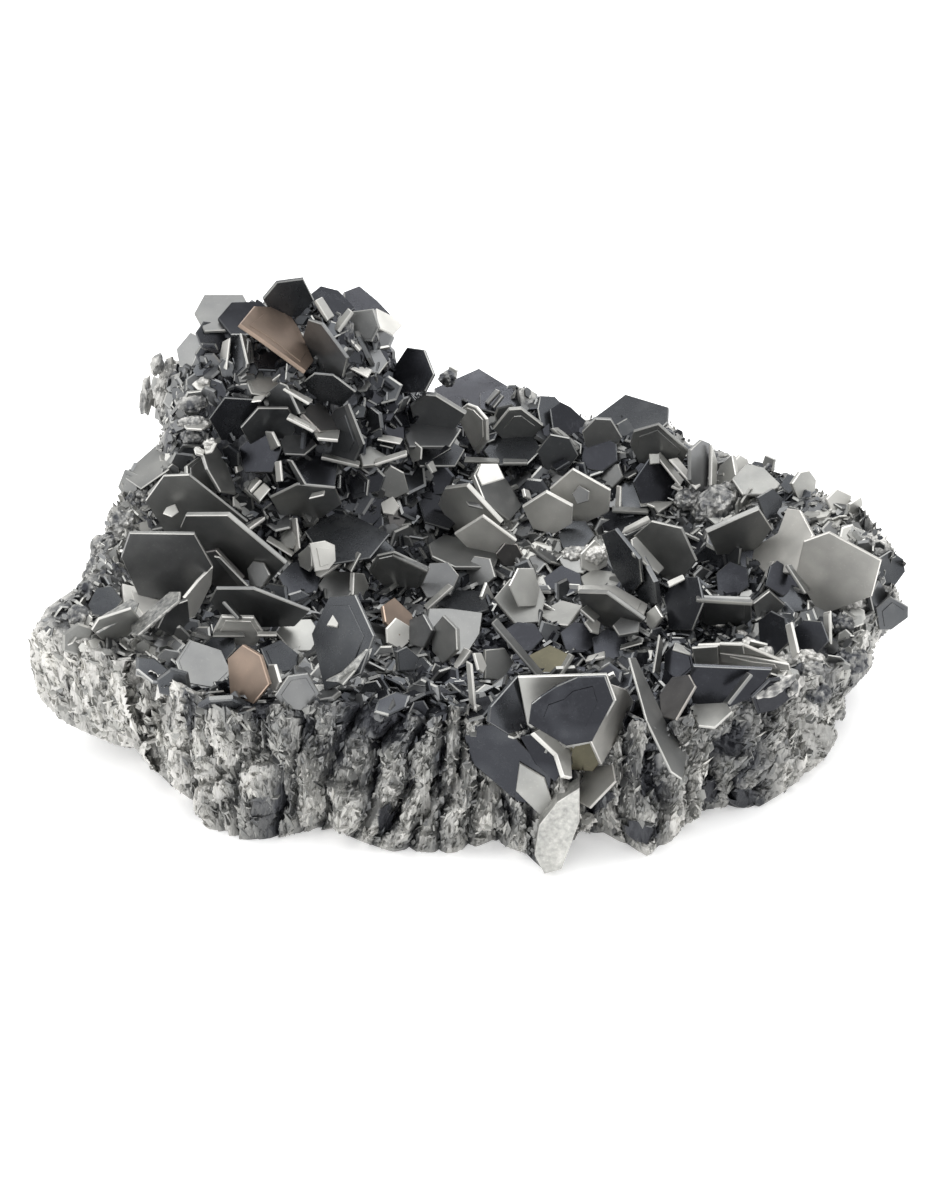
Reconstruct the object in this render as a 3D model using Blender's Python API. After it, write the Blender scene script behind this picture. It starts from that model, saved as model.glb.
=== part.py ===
"""Silicon carbide crystal cluster: one solid of hexagonal plates grown on a thick columnar crust.

The crust is a slab with flared, ribbed walls and a knob at the back left. Every plate is a flat
six-sided crystal. Its outline is given on a board that stands square to one sight line, 35 degrees
above the horizon, and the plate is dropped along that line until it sits in the crust.
"""

import math
import random

import bmesh
import bpy
import numpy as np
from mathutils import Vector
from mathutils.bvhtree import BVHTree
from mathutils.geometry import delaunay_2d_cdt

MM = 0.001  # the lengths below are in millimetres
SEED = 26

# The board: its height axis, its sight line, and the height on it of the origin.
SIGHT_RISE = math.radians(35.0)
BOARD_UP = np.array((0.0, math.sin(SIGHT_RISE), math.cos(SIGHT_RISE)))
TO_VIEWER = np.array((0.0, -math.cos(SIGHT_RISE), math.sin(SIGHT_RISE)))
BOARD_RIGHT = np.array((1.0, 0.0, 0.0))
BOARD_ORIGIN_UP = 17.5

# The crust: stations round it from the front left, each (rim x, y, waist x, y, z, foot x, y).
CRUST_STATIONS = [
    (-33, -19, -33, -18, 4, -31, -16), (-30.5, -23, -30, -21.5, 4, -28.5, -21),
    (-26, -25.5, -26, -25, 4, -25.5, -24), (-21, -26, -21, -25, 4, -21, -24),
    (-17, -25, -17, -23.5, 4, -17, -22), (-12, -26.5, -12, -26, 4, -12, -25),
    (-7, -27.5, -7, -27.5, 4, -7, -26.3), (-2, -28, -2, -28, 4, -2, -26.5),
    (3.5, -27.5, 3.5, -27, 4, 4, -24.8), (8.7, -28, 8.7, -29.6, 4, 9, -29.8),
    (12, -27.5, 12, -26.5, 4, 12, -24.5), (16, -26, 16, -25, 4, 16, -23),
    (21, -27.5, 21, -28, 4, 21, -27), (25, -25, 25, -22.5, 4, 24.5, -21),
    (29, -22.5, 29, -20, 4, 28.5, -17.5), (34, -20.5, 34, -19.5, 4, 34, -18),
    (38.5, -16, 38.5, -14.5, 4, 37.5, -12.5), (43, -10.5, 42.5, -9.5, 5, 40, -8),
    (46.5, -4, 46, -3, 7, 42, -3), (49.3, 3, 48.3, 3.5, 9, 43, 3),
    (49, 8, 47, 8, 9, 42, 8), (45.5, 13, 44, 13, 6, 40, 12),
    (41.5, 19.5, 40, 18, 5, 36, 15.5), (35, 24.5, 34, 22.5, 5, 31, 19.5),
    (27.5, 27, 27, 25, 5, 25, 22.5), (20, 30.5, 20, 28.5, 5, 18, 25),
    (12, 31.5, 12, 29.5, 5, 11, 26), (4, 31.5, 4, 29.5, 5, 4, 26.5),
    (-4, 31.5, -4, 29.5, 5, -4, 26.5), (-12, 33, -12, 31, 5, -12, 27.5),
    (-20, 34, -20, 32, 5, -19, 28), (-28, 31, -28, 29, 5, -26, 25),
    (-34.5, 25, -33.5, 23, 5, -31, 20), (-38, 18, -37, 17, 5, -34, 14),
    (-40.5, 11, -39.5, 10, 5, -35, 8), (-42, 6, -41, 5, 5, -35.5, 4),
    (-44.5, 1.5, -43.5, 0.5, 5, -36, 1), (-47.5, -3, -46.5, -3.5, 5, -36, -2),
    (-49.3, -5.5, -48.6, -5.5, 5, -36, -4), (-47, -8, -46, -7.5, 4.5, -35.5, -6),
    (-43, -10.5, -42.5, -9.8, 4.5, -35, -8.5), (-38, -14, -38, -12.5, 4.5, -33.5, -11.5),
]
COLUMNS = 100
COLUMN_PUSHES = (-1.2, -0.7, 0.0, 0.5, 1.0)
COLUMN_WAVER = 0.35
BELLY = 0.6  # how far the middle of the wall follows the rim rather than the waist
RIM_RAGGEDNESS = 1.1
RIM_DROP = 1.2
CRUST_CENTRE = (0.0, 3.0)
BOWL_LEVEL = 16.0
# The top's lattice of points: rows and steps about the origin, and how far inside the rim it ends.
TOP_SPACING = 5.2
TOP_ROWS = range(-8, 9)
TOP_STEPS = range(-11, 12)
ROW_PITCH = 0.87
TOP_SCATTER = 0.2
TOP_RELIEF = 0.9
TOP_INSET = (0.95, 0.94)
# Each swell of the top: (x, y, half-width in x, half-width in y, height, power).
SWELLS = [
    (-20.5, 21.5, 15.4, 10.8, 24.0, 4), (7.0, 31.0, 20.0, 10.0, 7.0, 2), (23.0, 27.0, 9.0, 9.0, 2.5, 2),
    (-41.0, 12.0, 8.0, 12.0, 5.0, 2), (-8.0, -28.0, 36.0, 9.0, 5.5, 2), (44.0, 14.0, 13.0, 13.0, 6.0, 2),
    (-46.0, -6.0, 9.0, 7.0, 2.5, 2),
]

# The whole cluster's outline on the board, anticlockwise, and how far inside it the crust stays.
OUTLINE = [
    (50.3, 35), (49, 36.1), (44.5, 42.1), (40, 42.9), (39.6, 45.1), (36.9, 45.1), (34.3, 45.9), (31.3, 47),
    (27.9, 48.8), (26, 48.5), (23.3, 51.2), (23, 52.9), (18.4, 54.2), (14.3, 51.3), (10.1, 54.2), (4.8, 55.7),
    (1.8, 57.2), (-2, 57.4), (-3.1, 56.1), (-4.2, 59), (-5.9, 59.9), (-6.9, 62.3), (-9.1, 64), (-11.8, 66.3),
    (-16.3, 66.3), (-20.1, 67), (-24.6, 65.4), (-29.9, 65.2), (-30.6, 61), (-34.4, 57), (-35.8, 55),
    (-34.7, 51.6), (-33.9, 49.5), (-35.2, 48), (-38.4, 45.3), (-39.3, 43.3), (-40.6, 40.6), (-40.9, 37.6),
    (-42.4, 34.7), (-43.9, 32.3), (-47.3, 30), (-49.2, 26.3), (-49.2, 23.2), (-48, 19.5), (-45, 16.8),
    (-39, 14.3), (-37.4, 14.2), (-31, 8.2), (-30.7, 5.9), (-27.6, 4), (-23.9, 3.3), (-19.3, 4.4), (-14.8, 5),
    (-10.3, 3), (-7.2, 2.1), (-0.5, 2.3), (3.3, 3.6), (7.1, 2.1), (9.4, 0), (11.2, 1), (13.1, 4.8),
    (18, 3.4), (20.3, 1.6), (22.2, 2.9), (29, 7.4), (31.6, 6.5), (36.5, 9.3), (41.1, 13), (43.4, 17.2),
    (43, 19.9), (46.3, 23.3), (46.3, 25.5), (49.9, 29.7), (48.6, 33.1),
]
CRUST_MARGIN = 0.6

# Plates: the thickness, how far the nearest corner is set into the crust, and the steepest slant allowed.
PLATE_THICKNESS = 0.9
PLATE_SINK = 0.9
FLOOR_GAP = 0.3
SLANT_COSINES = (0.42, 0.96)
UPRIGHT_COSINE = 0.86
FACINGS = {"up": (0, 1), "down": (0, -1), "left": (-1, 0), "right": (1, 0), "out": (0, -1)}
# Sight lines start this far out, and one that misses the crust is searched over these depths.
SIGHT_START = 200.0
SEARCH_DEPTHS = np.arange(-40, 40, 0.5)
# A plate that would reach under the floor is brought forward, and grows thicker by this share of it.
FLOOR_REACH = 3 * PLATE_THICKNESS
BACK_GROWTH = 1.5

# Plates of the far side, out of the board's sight: how many, and the box (x, y, z) each group is
# aimed at. The rays to them come from these bearings and heights, in degrees.
HIDDEN_AIMS = [(36, ((-38, 40), (4, 22), (6, 30))), (16, ((-26, -14), (18, 26), (20, 38)))]
HIDDEN_BEARINGS = (5, 175)
HIDDEN_RISES = (-8, 60)
HIDDEN_START = 120.0
HIDDEN_RADIUS = (2.2, 4.4)
HIDDEN_LIFT = 0.25  # of its radius
HIDDEN_FLATNESS = 0.6
HIDDEN_LOWEST = 0.5
SIGHT_GAP = 0.5
HEXAGON_START = (0.3, 0.2, 1.0)

# Outlines on the board in millimetres: the way the plate leans, then its corners (across, up).
KNOB = [
    ("up", (-30.5, 63.3), (-29.4, 65.4), (-25, 65.4), (-23.8, 63.2), (-25.2, 61.4), (-29.3, 61.2)),
    ("up", (-27.8, 62.7), (-26.3, 64.5), (-22.9, 64.6), (-21.2, 62.8), (-22.8, 60.8), (-26.3, 60.8)),
    ("up", (-25.2, 61.9), (-23.6, 64), (-20.2, 63.9), (-18.6, 61.5), (-16.9, 57.8), (-17.8, 56.6),
     (-22.9, 60.3)),
    ("down", (-22.7, 64.7), (-21.1, 66.6), (-18.1, 67), (-16.9, 64.6), (-18.6, 62.8), (-21.4, 62.6)),
    ("right", (-17.4, 65.4), (-16.2, 66.4), (-14.2, 65.9), (-12.3, 63.9), (-14, 62.6), (-16.6, 63.2)),
    ("right", (-13.6, 65.8), (-11.9, 66.5), (-9.8, 64.8), (-8.3, 63.2), (-10.8, 62.6), (-13.4, 63.6)),
    ("left", (-13.4, 61.7), (-12.8, 63.4), (-10.3, 63.7), (-9.6, 61.6), (-10.4, 60), (-12.4, 60.1)),
    ("up", (-9.9, 63.9), (-8, 63), (-6.9, 62), (-8, 60.8), (-9.6, 61.6)),
    ("up", (-12, 57.8), (-11.2, 59), (-9.5, 59.2), (-8.6, 57.7), (-9.6, 56.4), (-11.3, 56.7)),
    ("down", (-18.2, 60.6), (-17.6, 62.4), (-16.1, 61.9), (-13.2, 58), (-13.7, 55.9), (-17, 56.4)),
    ("right", (-30.3, 61), (-29.4, 62.3), (-27.3, 62.1), (-26.5, 60.6), (-27.8, 58.6), (-29.6, 59.2)),
    ("left", (-32.6, 59.2), (-31, 61.1), (-29.6, 60.4), (-28.9, 58.3), (-30.5, 57), (-32.2, 57.2)),
    ("left", (-26.9, 57.2), (-26.5, 60.2), (-25.2, 60.9), (-24.4, 60), (-24.6, 57), (-25.8, 55.9)),
    ("up", (-24, 58.2), (-22.9, 59.9), (-21.3, 59.7), (-20, 58.2), (-21.2, 56.7), (-23.2, 56.8)),
    ("up", (-24.6, 55.7), (-23.2, 57), (-22, 56.7), (-20.6, 55.2), (-22.2, 53.8), (-24, 54.1)),
    ("left", (-22.6, 53.9), (-20.8, 55.3), (-19.7, 54.9), (-18.1, 52), (-19.8, 51.2), (-22.4, 52.2)),
    ("down", (-18.1, 55.4), (-16.9, 56.3), (-14.7, 56.1), (-12.2, 54.2), (-13.8, 52.6), (-17.2, 53.4)),
    ("up", (-18.2, 51.8), (-17.4, 52.9), (-16.3, 53.1), (-15, 52.1), (-13.9, 50), (-16.2, 49.8)),
    ("down", (-25.2, 50.2), (-23.2, 52.4), (-19.8, 52.4), (-18.6, 50.4), (-20.2, 48.4), (-24.2, 48.4)),
    ("right", (-28.8, 51.2), (-27, 53.6), (-23.6, 53.4), (-22.4, 51.2), (-23.6, 49), (-27.4, 48.8)),
    ("left", (-25.4, 47.9), (-24.1, 49.8), (-21.9, 50), (-20.6, 48), (-21.6, 45.2), (-24.8, 45.2)),
    ("up", (-20.8, 48.6), (-19.8, 50), (-17.6, 49.8), (-16.6, 48.4), (-18, 47.2), (-20.2, 47.3)),
    ("down", (-32, 52.6), (-31.2, 54.2), (-29.6, 54.4), (-28.6, 53), (-29.6, 51.8), (-31.4, 51.6)),
    ("left", (-34.8, 55.6), (-33.6, 58.2), (-32.6, 58), (-32.4, 55.2), (-33.4, 53.2), (-34.6, 53.4)),
]
SADDLE = [
    ("left", (-38.8, 44.9), (-35, 48.3), (-33.6, 47.8), (-33.4, 45.6), (-36.6, 43.4)),
    ("left", (-39.3, 43.6), (-38.5, 45.6), (-36.9, 45), (-36.6, 43), (-38.2, 42)),
    ("right", (-31.3, 46), (-29.7, 47.2), (-28.4, 45.4), (-27.9, 42.8), (-29.6, 43), (-31.2, 44.6)),
    ("right", (-29.4, 47.2), (-28, 48.5), (-26.4, 45.9), (-25.7, 42.8), (-27.4, 43), (-28.9, 45.6)),
    ("left", (-36, 42), (-33.9, 44.8), (-31, 44.9), (-24.4, 39.6), (-26.4, 37.4), (-33, 37)),
    ("left", (-32, 39), (-31.4, 40.3), (-26.6, 40.3), (-20.1, 34.8), (-22.2, 32.6), (-29, 33.8)),
    ("left", (-38.6, 35.6), (-37.6, 38.3), (-30.3, 38.2), (-28.3, 34.6), (-31.6, 30.8), (-36.6, 31)),
    ("up", (-38.5, 32.7), (-36.3, 32.2), (-33, 31.2), (-34, 29.2), (-36.4, 28.6), (-38.3, 30.6)),
    ("right", (-31.4, 31), (-29.8, 33), (-28.2, 34.6), (-28.4, 32.6), (-30.2, 29), (-31.2, 28.6)),
    ("left", (-21.1, 38.2), (-20.3, 39.6), (-19, 39.5), (-18.5, 38), (-19.4, 36.6), (-20.8, 36.8)),
    ("left", (-29.2, 36.2), (-28, 36.4), (-25, 33.2), (-25.4, 31.8), (-28, 32), (-29.4, 34)),
]
MIDDLE = [
    ("up", (-19.8, 46.2), (-16.4, 47.8), (-14.2, 46.2), (-14.6, 43.4), (-18, 43.2)),
    ("down", (-21.9, 42.3), (-18.8, 43.8), (-14.5, 43.4), (-13.8, 41.6), (-16.4, 39.8), (-20.8, 40.4)),
    ("up", (-18, 38.6), (-14.6, 40.8), (-12.4, 40.4), (-8.4, 38.3), (-10.6, 35.6), (-15.4, 34.8)),
    ("up", (-18.8, 35.5), (-17.4, 37.5), (-14.6, 37.4), (-13.9, 35), (-16.2, 33.4), (-18.2, 33.8)),
    ("up", (-12, 48), (-11.2, 48.6), (-8.8, 47.2), (-9.2, 46.2), (-11.4, 46)),
    ("left", (-15.8, 50.6), (-14.6, 52.4), (-13.2, 52.8), (-11.6, 48.2), (-12.4, 46.4), (-15.2, 47.2)),
    ("right", (-10.2, 44.1), (-8.3, 46), (-6.8, 45.2), (-6.2, 43), (-8, 42.2), (-9.8, 42.8)),
    ("down", (-6.1, 52.7), (-4.3, 54), (-3.2, 53.9), (0.2, 51.8), (-1.4, 49.6), (-5.6, 50.2)),
    ("up", (-7, 50.1), (-4.7, 52), (-3.7, 52), (-0.3, 50.2), (-1.6, 48.2), (-6.2, 48.2)),
    ("up", (-6.4, 48.5), (-4.3, 50.1), (-3.5, 50.1), (0.1, 47.9), (-1, 46), (-5, 46)),
    ("up", (-8.2, 56.8), (-6.5, 59.4), (-4.5, 59.1), (-3.4, 56.3), (-4.4, 54.4), (-7.6, 54.2)),
    ("up", (-3.4, 55), (1.7, 57.3), (6.2, 54.5), (5.2, 52), (0.4, 52.2), (-3, 52.8)),
    ("right", (1.8, 54.4), (4.4, 55.4), (7.6, 54.4), (7.9, 52.8), (5, 51.8), (1.8, 52.6)),
    ("up", (8.4, 52.6), (8.7, 54.1), (10.4, 54), (12.4, 51.8), (11, 50.2), (8.8, 50.6)),
    ("right", (9.8, 52.6), (11, 53.4), (12.2, 52.8), (14, 51.1), (12.8, 49.4), (10.2, 49.8)),
    ("down", (3.3, 50.2), (5.1, 52.4), (6.5, 52.5), (9, 50.6), (7.8, 49), (4.6, 48.8)),
    ("up", (2.2, 47.8), (3.7, 49.6), (7.9, 49.5), (8.8, 47.9), (7.2, 46.3), (3.4, 46.2)),
    ("left", (-0.9, 52.2), (0.3, 53.1), (1.3, 52.7), (2.5, 51.3), (2.6, 48.9), (1.4, 47.2), (-0.2, 50.2)),
    ("right", (1.2, 45), (1.9, 46.3), (3.8, 46.3), (6.6, 41.5), (5.2, 39.8), (2.4, 42)),
    ("left", (-3, 41.6), (-2.2, 43.4), (0.3, 43.7), (4.2, 39.5), (2.6, 37.6), (-1, 38.4)),
    ("right", (-5.1, 42), (-3.7, 42.9), (-2.6, 42.7), (-0.4, 40.3), (-1.6, 38.8), (-4.4, 39.6)),
    ("down", (-1.1, 38.2), (2.1, 40.2), (5.9, 37.4), (4.4, 35.8), (0.6, 36.4)),
    ("right", (3.6, 36), (4.6, 37.2), (6, 37.1), (6.7, 35.8), (5.8, 34.6), (4.3, 34.7)),
    ("up", (-4, 37.2), (-2.2, 38.3), (4.2, 36.4), (3.4, 34.6), (-1, 34.6), (-3.6, 35.8)),
    ("left", (-10.8, 34), (-9.8, 35.8), (-7.9, 36.2), (-3.9, 34.3), (-4.8, 32.2), (-8.6, 31.8)),
    ("up", (-11.8, 36.6), (-10.6, 38.1), (-9.4, 38.1), (-7.8, 36.6), (-9, 34.8), (-11.4, 34.8)),
    ("left", (-13.2, 43.8), (-12, 45.4), (-10.8, 44.4), (-11, 42.6), (-12.6, 42.2)),
    ("right", (8.2, 47.6), (9.8, 49.6), (12, 49.2), (13, 47.2), (11.6, 45.4), (9.2, 45.6)),
]
RIGHT = [
    ("down", (9.7, 43.4), (12.3, 45.6), (16.6, 43.2), (16.4, 40.8), (13.6, 39.4), (10.4, 40.4)),
    ("down", (6.6, 41.3), (9.3, 43), (12.3, 41.4), (12.2, 39.4), (10.2, 38.2), (7.8, 38.8)),
    ("up", (10.6, 38.2), (12.1, 39.8), (13.8, 39.8), (14.8, 38.2), (13.4, 36.6), (11.2, 36.6)),
    ("up", (10.7, 35.4), (12, 37), (14, 36.9), (14.6, 35), (13.4, 33.8), (11.6, 33.9)),
    ("right", (13.2, 36), (14.8, 37.6), (16.4, 36.2), (16.2, 34.6), (14.6, 33.8), (13.3, 34.4)),
    ("up", (13, 33.4), (14.6, 34.3), (17.3, 34), (17.8, 32.8), (16, 31.8), (13.8, 32)),
    ("down", (12.8, 31.6), (16, 31.5), (20.2, 28.5), (18.6, 27.2), (15.8, 27.8), (13.4, 29.4)),
    ("up", (8.1, 29.4), (11.1, 30.8), (13.4, 30.2), (11.7, 28), (9.8, 28.2)),
    ("up", (3.4, 31), (5.2, 33.2), (8, 33.4), (9.2, 31), (8.6, 28.3), (5.8, 28.1)),
    ("up", (5.1, 32.4), (6.1, 34.4), (7.9, 34.4), (8.6, 32), (8.2, 30.1), (6.2, 30)),
    ("up", (8.9, 33.3), (11, 34.8), (13.2, 33.8), (13.4, 32.2), (11.4, 31.2), (9.2, 32)),
    ("left", (17.2, 41.2), (17.5, 43.7), (18.8, 44.6), (21.5, 44.2), (22.4, 42.2), (20.8, 40.8)),
    ("up", (19.2, 44.2), (21, 46.8), (22.8, 46.2), (24.1, 43.8), (23, 41.6), (20.2, 41.6)),
    ("left", (19.1, 38), (21.1, 39.7), (24.5, 38.9), (26.2, 35.2), (24.4, 32.8), (21.2, 33.4)),
    ("up", (15.4, 40.2), (17.2, 41.4), (20.9, 41.2), (21.4, 39.6), (18.4, 38.2), (15.8, 38.6)),
    ("left", (15.5, 38.2), (17, 38.8), (19.7, 35.4), (20, 32.8), (18.6, 31.2), (16.8, 34)),
    ("left", (18.9, 34), (19.9, 35.6), (21.4, 32.8), (21.7, 30.4), (20.4, 29.8), (19, 32.2)),
    ("up", (22.6, 31.4), (23.8, 33.4), (26.3, 33.4), (26.9, 30.6), (25.6, 27.4), (23, 27.4)),
    ("left", (26.2, 29.2), (26.6, 31), (32.2, 30.8), (32.4, 28.6), (31.4, 27.6), (26.6, 27.8)),
    ("up", (14, 51), (18.4, 54.3), (23.3, 52.8), (23.2, 51.1), (20.4, 48.6), (15.8, 48.6)),
    ("down", (18.8, 48.4), (19.2, 49.9), (22, 50.7), (25.4, 47.7), (24.6, 45.8), (20, 46)),
    ("down", (13.4, 49.9), (14.9, 51.4), (16.7, 51.3), (18, 49.2), (16.8, 47.6), (14, 47.8)),
    ("up", (13.2, 48), (15.6, 49.7), (17.3, 48.6), (17.4, 46.6), (15.6, 45.4), (13.4, 45.8)),
    ("right", (25.7, 47.8), (27, 49), (28, 48.6), (28.2, 44.2), (26.8, 42.8), (25.7, 44.4)),
    ("right", (30.6, 46.4), (31.4, 47.3), (32.3, 46.8), (32.6, 45.2), (31.6, 43.8), (30.7, 44.4)),
    ("up", (30.4, 44.6), (32, 46.3), (34, 45.9), (35.9, 44), (35, 42.8), (31.6, 42.8)),
    ("left", (33.8, 46.2), (34.2, 47.3), (35.3, 46.8), (35, 45.4), (34.2, 45.2)),
    ("down", (27.4, 38.4), (29.8, 39.5), (33.3, 41), (34.8, 38.8), (33, 36.2), (28.6, 35.8)),
    ("right", (33.2, 42.4), (35, 43.5), (36.2, 42.2), (35.8, 40.4), (34.2, 39.8)),
    ("up", (31.8, 36.2), (35.4, 38.4), (36.5, 41.2), (37.9, 41), (39.3, 38.2), (37.4, 33.8), (33.8, 34)),
    ("down", (37.3, 33.6), (38.2, 37.4), (41, 38.4), (46.9, 35.2), (45.9, 31.2), (40.2, 29)),
    ("right", (34, 32.4), (34.6, 34.7), (35.4, 35.3), (36.6, 34.5), (38.1, 32.4), (36, 31.2)),
    ("right", (46.6, 35.4), (48.2, 36.4), (49.7, 35.4), (49.9, 34), (48.4, 32), (46.8, 32.8)),
    ("right", (46.4, 29.8), (48, 31.2), (50.1, 30), (50.1, 28.8), (48.2, 27.4), (46.8, 27.4)),
    ("right", (45.8, 31.2), (46.8, 33), (47.9, 31.6), (47.9, 29.2), (46.6, 27.8)),
    ("up", (37.2, 44), (38.1, 45.3), (39.2, 45.5), (40, 44.4), (39.8, 42.4), (38, 42.2)),
    ("right", (41, 42.2), (42.2, 43.4), (43.9, 42.6), (43.4, 40.6), (41.8, 40.4)),
    ("right", (43.6, 41.6), (45, 42.5), (45.2, 41.6), (44.2, 40.2), (43.5, 40.4)),
    ("right", (32.6, 30.4), (34.4, 31.8), (36.2, 30.2), (35, 28.8), (33, 28.8)),
    ("up", (34.6, 31.6), (36.6, 32.8), (39, 31.6), (38.4, 29.6), (35.8, 29.2)),
    ("left", (33, 28.4), (34.4, 29.6), (36, 28.8), (36.4, 26), (34.6, 24.2), (33.2, 25.6)),
    ("up", (36.8, 27.4), (38.2, 28.6), (40.2, 28.4), (41, 26.2), (39.4, 24.4), (37.2, 24.8)),
    ("down", (25.5, 24.4), (26.2, 25.6), (31, 25.8), (36.2, 23.6), (35.2, 22.6), (26.4, 22.9)),
    ("out", (25, 21.6), (25.6, 23.4), (34.4, 23), (32.6, 20), (29.2, 18.6), (25.6, 19.2)),
    ("up", (22.4, 24.8), (23.6, 26), (25.4, 25.2), (25.8, 23.2), (24, 21.6), (22.4, 22.4)),
    ("left", (21.8, 20.2), (23.2, 22.2), (25.1, 22.5), (25.8, 21.2), (23.6, 17.4), (22, 17.8)),
    ("up", (25.2, 18.8), (26.2, 19.5), (29.2, 19.5), (30, 18.4), (28, 16.6), (26.2, 16.8)),
    ("down", (32.2, 19.8), (34.2, 21.8), (36.8, 22), (37.4, 20.4), (34.8, 18.4), (32.8, 18)),
    ("left", (28.6, 36.4), (29.6, 37.6), (31.2, 36.6), (31, 34.8), (29.4, 34.4)),
    ("up", (28.4, 33.8), (30, 35.2), (32, 34.4), (32.2, 32.4), (30.6, 31.2), (28.6, 31.8)),
]
FRONT = [
    ("out", (6, 22.2), (15.9, 22.5), (17, 19.6), (14.4, 14.8), (11.4, 14.2), (7, 16.8)),
    ("right", (2.8, 17.2), (3, 18.9), (6, 22.3), (7.4, 19.6), (7, 16.4), (5, 15.8)),
    ("out", (11.4, 14.9), (15.8, 14.9), (15.2, 12.6), (14.4, 11.6), (12, 11.8)),
    ("up", (7.2, 24.6), (9.6, 25.8), (11.9, 24.7), (10.6, 22), (8.2, 22)),
    ("out", (0, 15.6), (1.2, 16.9), (4.3, 16.9), (9.8, 11.2), (9.4, 7.8), (6, 8.2), (0.8, 12.6)),
    ("out", (6.2, 12.6), (9, 10.9), (9.9, 8.2), (8.6, 6.6), (5.8, 9.4)),
    ("out", (6.2, 15.6), (8.2, 15.9), (11.4, 12.2), (10.2, 10.4), (8, 12.4)),
    ("right", (7.8, 16.1), (9.3, 16.8), (11.9, 14.6), (12.1, 11), (11.2, 11.2), (10.4, 13.6)),
    ("right", (16.2, 21.5), (18.2, 20.8), (19.3, 19), (15.4, 12.4), (14.2, 15), (16.6, 19.6)),
    ("left", (12.9, 11.4), (14.2, 12.2), (16.6, 12.5), (16.9, 10.6), (14, 7.6), (12.9, 8.2)),
    ("out", (7.9, 2.2), (8.4, 5.6), (10.4, 8.2), (12.9, 9.8), (12.9, 6), (10.9, 0.6), (9, 0.1)),
    ("right", (18.5, 24.4), (19.2, 24.4), (22.7, 17), (25, 13.6), (24.4, 10.8), (23.2, 11.6), (20.4, 17.4)),
    ("left", (-24.5, 34.3), (-23.8, 35.2), (-22.6, 35), (-21.9, 33.6), (-22.8, 32.2), (-24.2, 32.4)),
    ("down", (-28.6, 30.6), (-27.8, 32), (-23.6, 32), (-17.3, 29.5), (-19, 27.8), (-26, 27.6)),
    ("up", (-21, 33.5), (-19.5, 35.1), (-17.8, 35.1), (-16, 33.8), (-16.6, 31.6), (-20, 31.4)),
    ("left", (-16.5, 32.5), (-15.3, 34.2), (-12.8, 34), (-11.8, 33), (-13.2, 31), (-15.6, 31)),
    ("up", (-21.1, 27.1), (-20.2, 28.6), (-17.2, 28.7), (-16.1, 27), (-17.2, 25.1), (-19.4, 25.1)),
    ("down", (-28.2, 27.1), (-27.2, 28.9), (-23.6, 28.8), (-22.5, 27), (-23.6, 25.4), (-27, 25.2)),
    ("left", (-29.2, 25.8), (-28, 27), (-25.9, 26.9), (-25.6, 25.4), (-27, 23.8), (-28.6, 23.8)),
    ("up", (-32.3, 24), (-30.8, 26.4), (-27.2, 25.2), (-26, 22.6), (-28, 20.6), (-31.2, 21.2)),
    ("left", (-26.5, 24.2), (-24.8, 25.8), (-22.8, 24.6), (-21.8, 21.4), (-23.6, 19.2), (-26.2, 20.2)),
    ("up", (-22.8, 25.4), (-20.6, 26.4), (-18.6, 24.8), (-18.8, 22.6), (-21.4, 22.2)),
    ("down", (-21.1, 20.1), (-19.6, 22.3), (-17.4, 22.6), (-16.1, 20.4), (-17.6, 18.4), (-20, 18.6)),
    ("up", (-17.1, 27), (-15.1, 31.2), (-12.2, 31.4), (-10.1, 26.8), (-11.6, 22.6), (-15.6, 20.6)),
    ("up", (-8.7, 27.6), (-7.6, 28.8), (-6, 27.8), (-6, 26.2), (-7.1, 25.2), (-8.6, 26)),
    ("right", (-9.1, 30.2), (-7.8, 31.1), (-5.8, 29.2), (-5.4, 27.2), (-7.2, 26.8), (-8.8, 28.4)),
    ("up", (-4.1, 28.4), (-3.9, 29.9), (-1.6, 29.9), (2.1, 29.4), (1.8, 27), (0.4, 24.8), (-1.4, 24.6)),
    ("left", (-3.8, 27.4), (-2.4, 29.1), (-0.9, 27.6), (-0.8, 25.2), (-2.4, 23.6), (-3.6, 25)),
    ("left", (-5.1, 32.6), (-3.9, 35), (-1.8, 35.1), (-0.6, 33.6), (-1.6, 31.4), (-4.2, 31)),
    ("up", (0.2, 34.4), (1.1, 35.8), (2.9, 35.5), (3.5, 33.4), (2.2, 32.2), (0.5, 32.4)),
    ("up", (-3.6, 30.2), (-1, 32), (2.2, 31.8), (2.8, 29.8), (-0.6, 28.8)),
    ("down", (-41.8, 27.4), (-41, 28.6), (-37.3, 29.8), (-36, 28.2), (-38, 26.6), (-40.6, 26.2)),
    ("left", (-42.4, 30.2), (-41.4, 32.2), (-39.6, 32.4), (-38.4, 30.8), (-39.6, 29.2), (-41.6, 28.8)),
    ("right", (-34.4, 27.6), (-33.2, 30), (-31, 30.8), (-30.8, 28.4), (-32.6, 26.6)),
    ("left", (-44.6, 29.4), (-42.8, 30), (-41.8, 28.8), (-42.4, 27.2), (-44.2, 27.2)),
    ("up", (-7.6, 25), (-6.4, 25.6), (-5, 24.4), (-5.6, 22.8), (-7.4, 22.8)),
    ("up", (-6.2, 28.6), (-4.6, 29.2), (-3.6, 27.4), (-4.6, 25.4), (-6.2, 25.8)),
    ("right", (2.4, 25.2), (4.6, 25.4), (5.6, 23.8), (4.4, 21.8), (2.4, 22)),
    ("up", (4.4, 27.4), (6, 28.4), (8, 28.2), (9, 26.6), (7.4, 25), (5, 25.4)),
    ("up", (10.8, 27.2), (12.4, 28.4), (14.6, 28), (15.2, 26.2), (13.6, 24.8), (11.4, 25.2)),
    ("up", (14.4, 26.6), (16, 27.6), (18.2, 27), (18.4, 25), (16.4, 23.8), (14.6, 24.6)),
]


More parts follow.
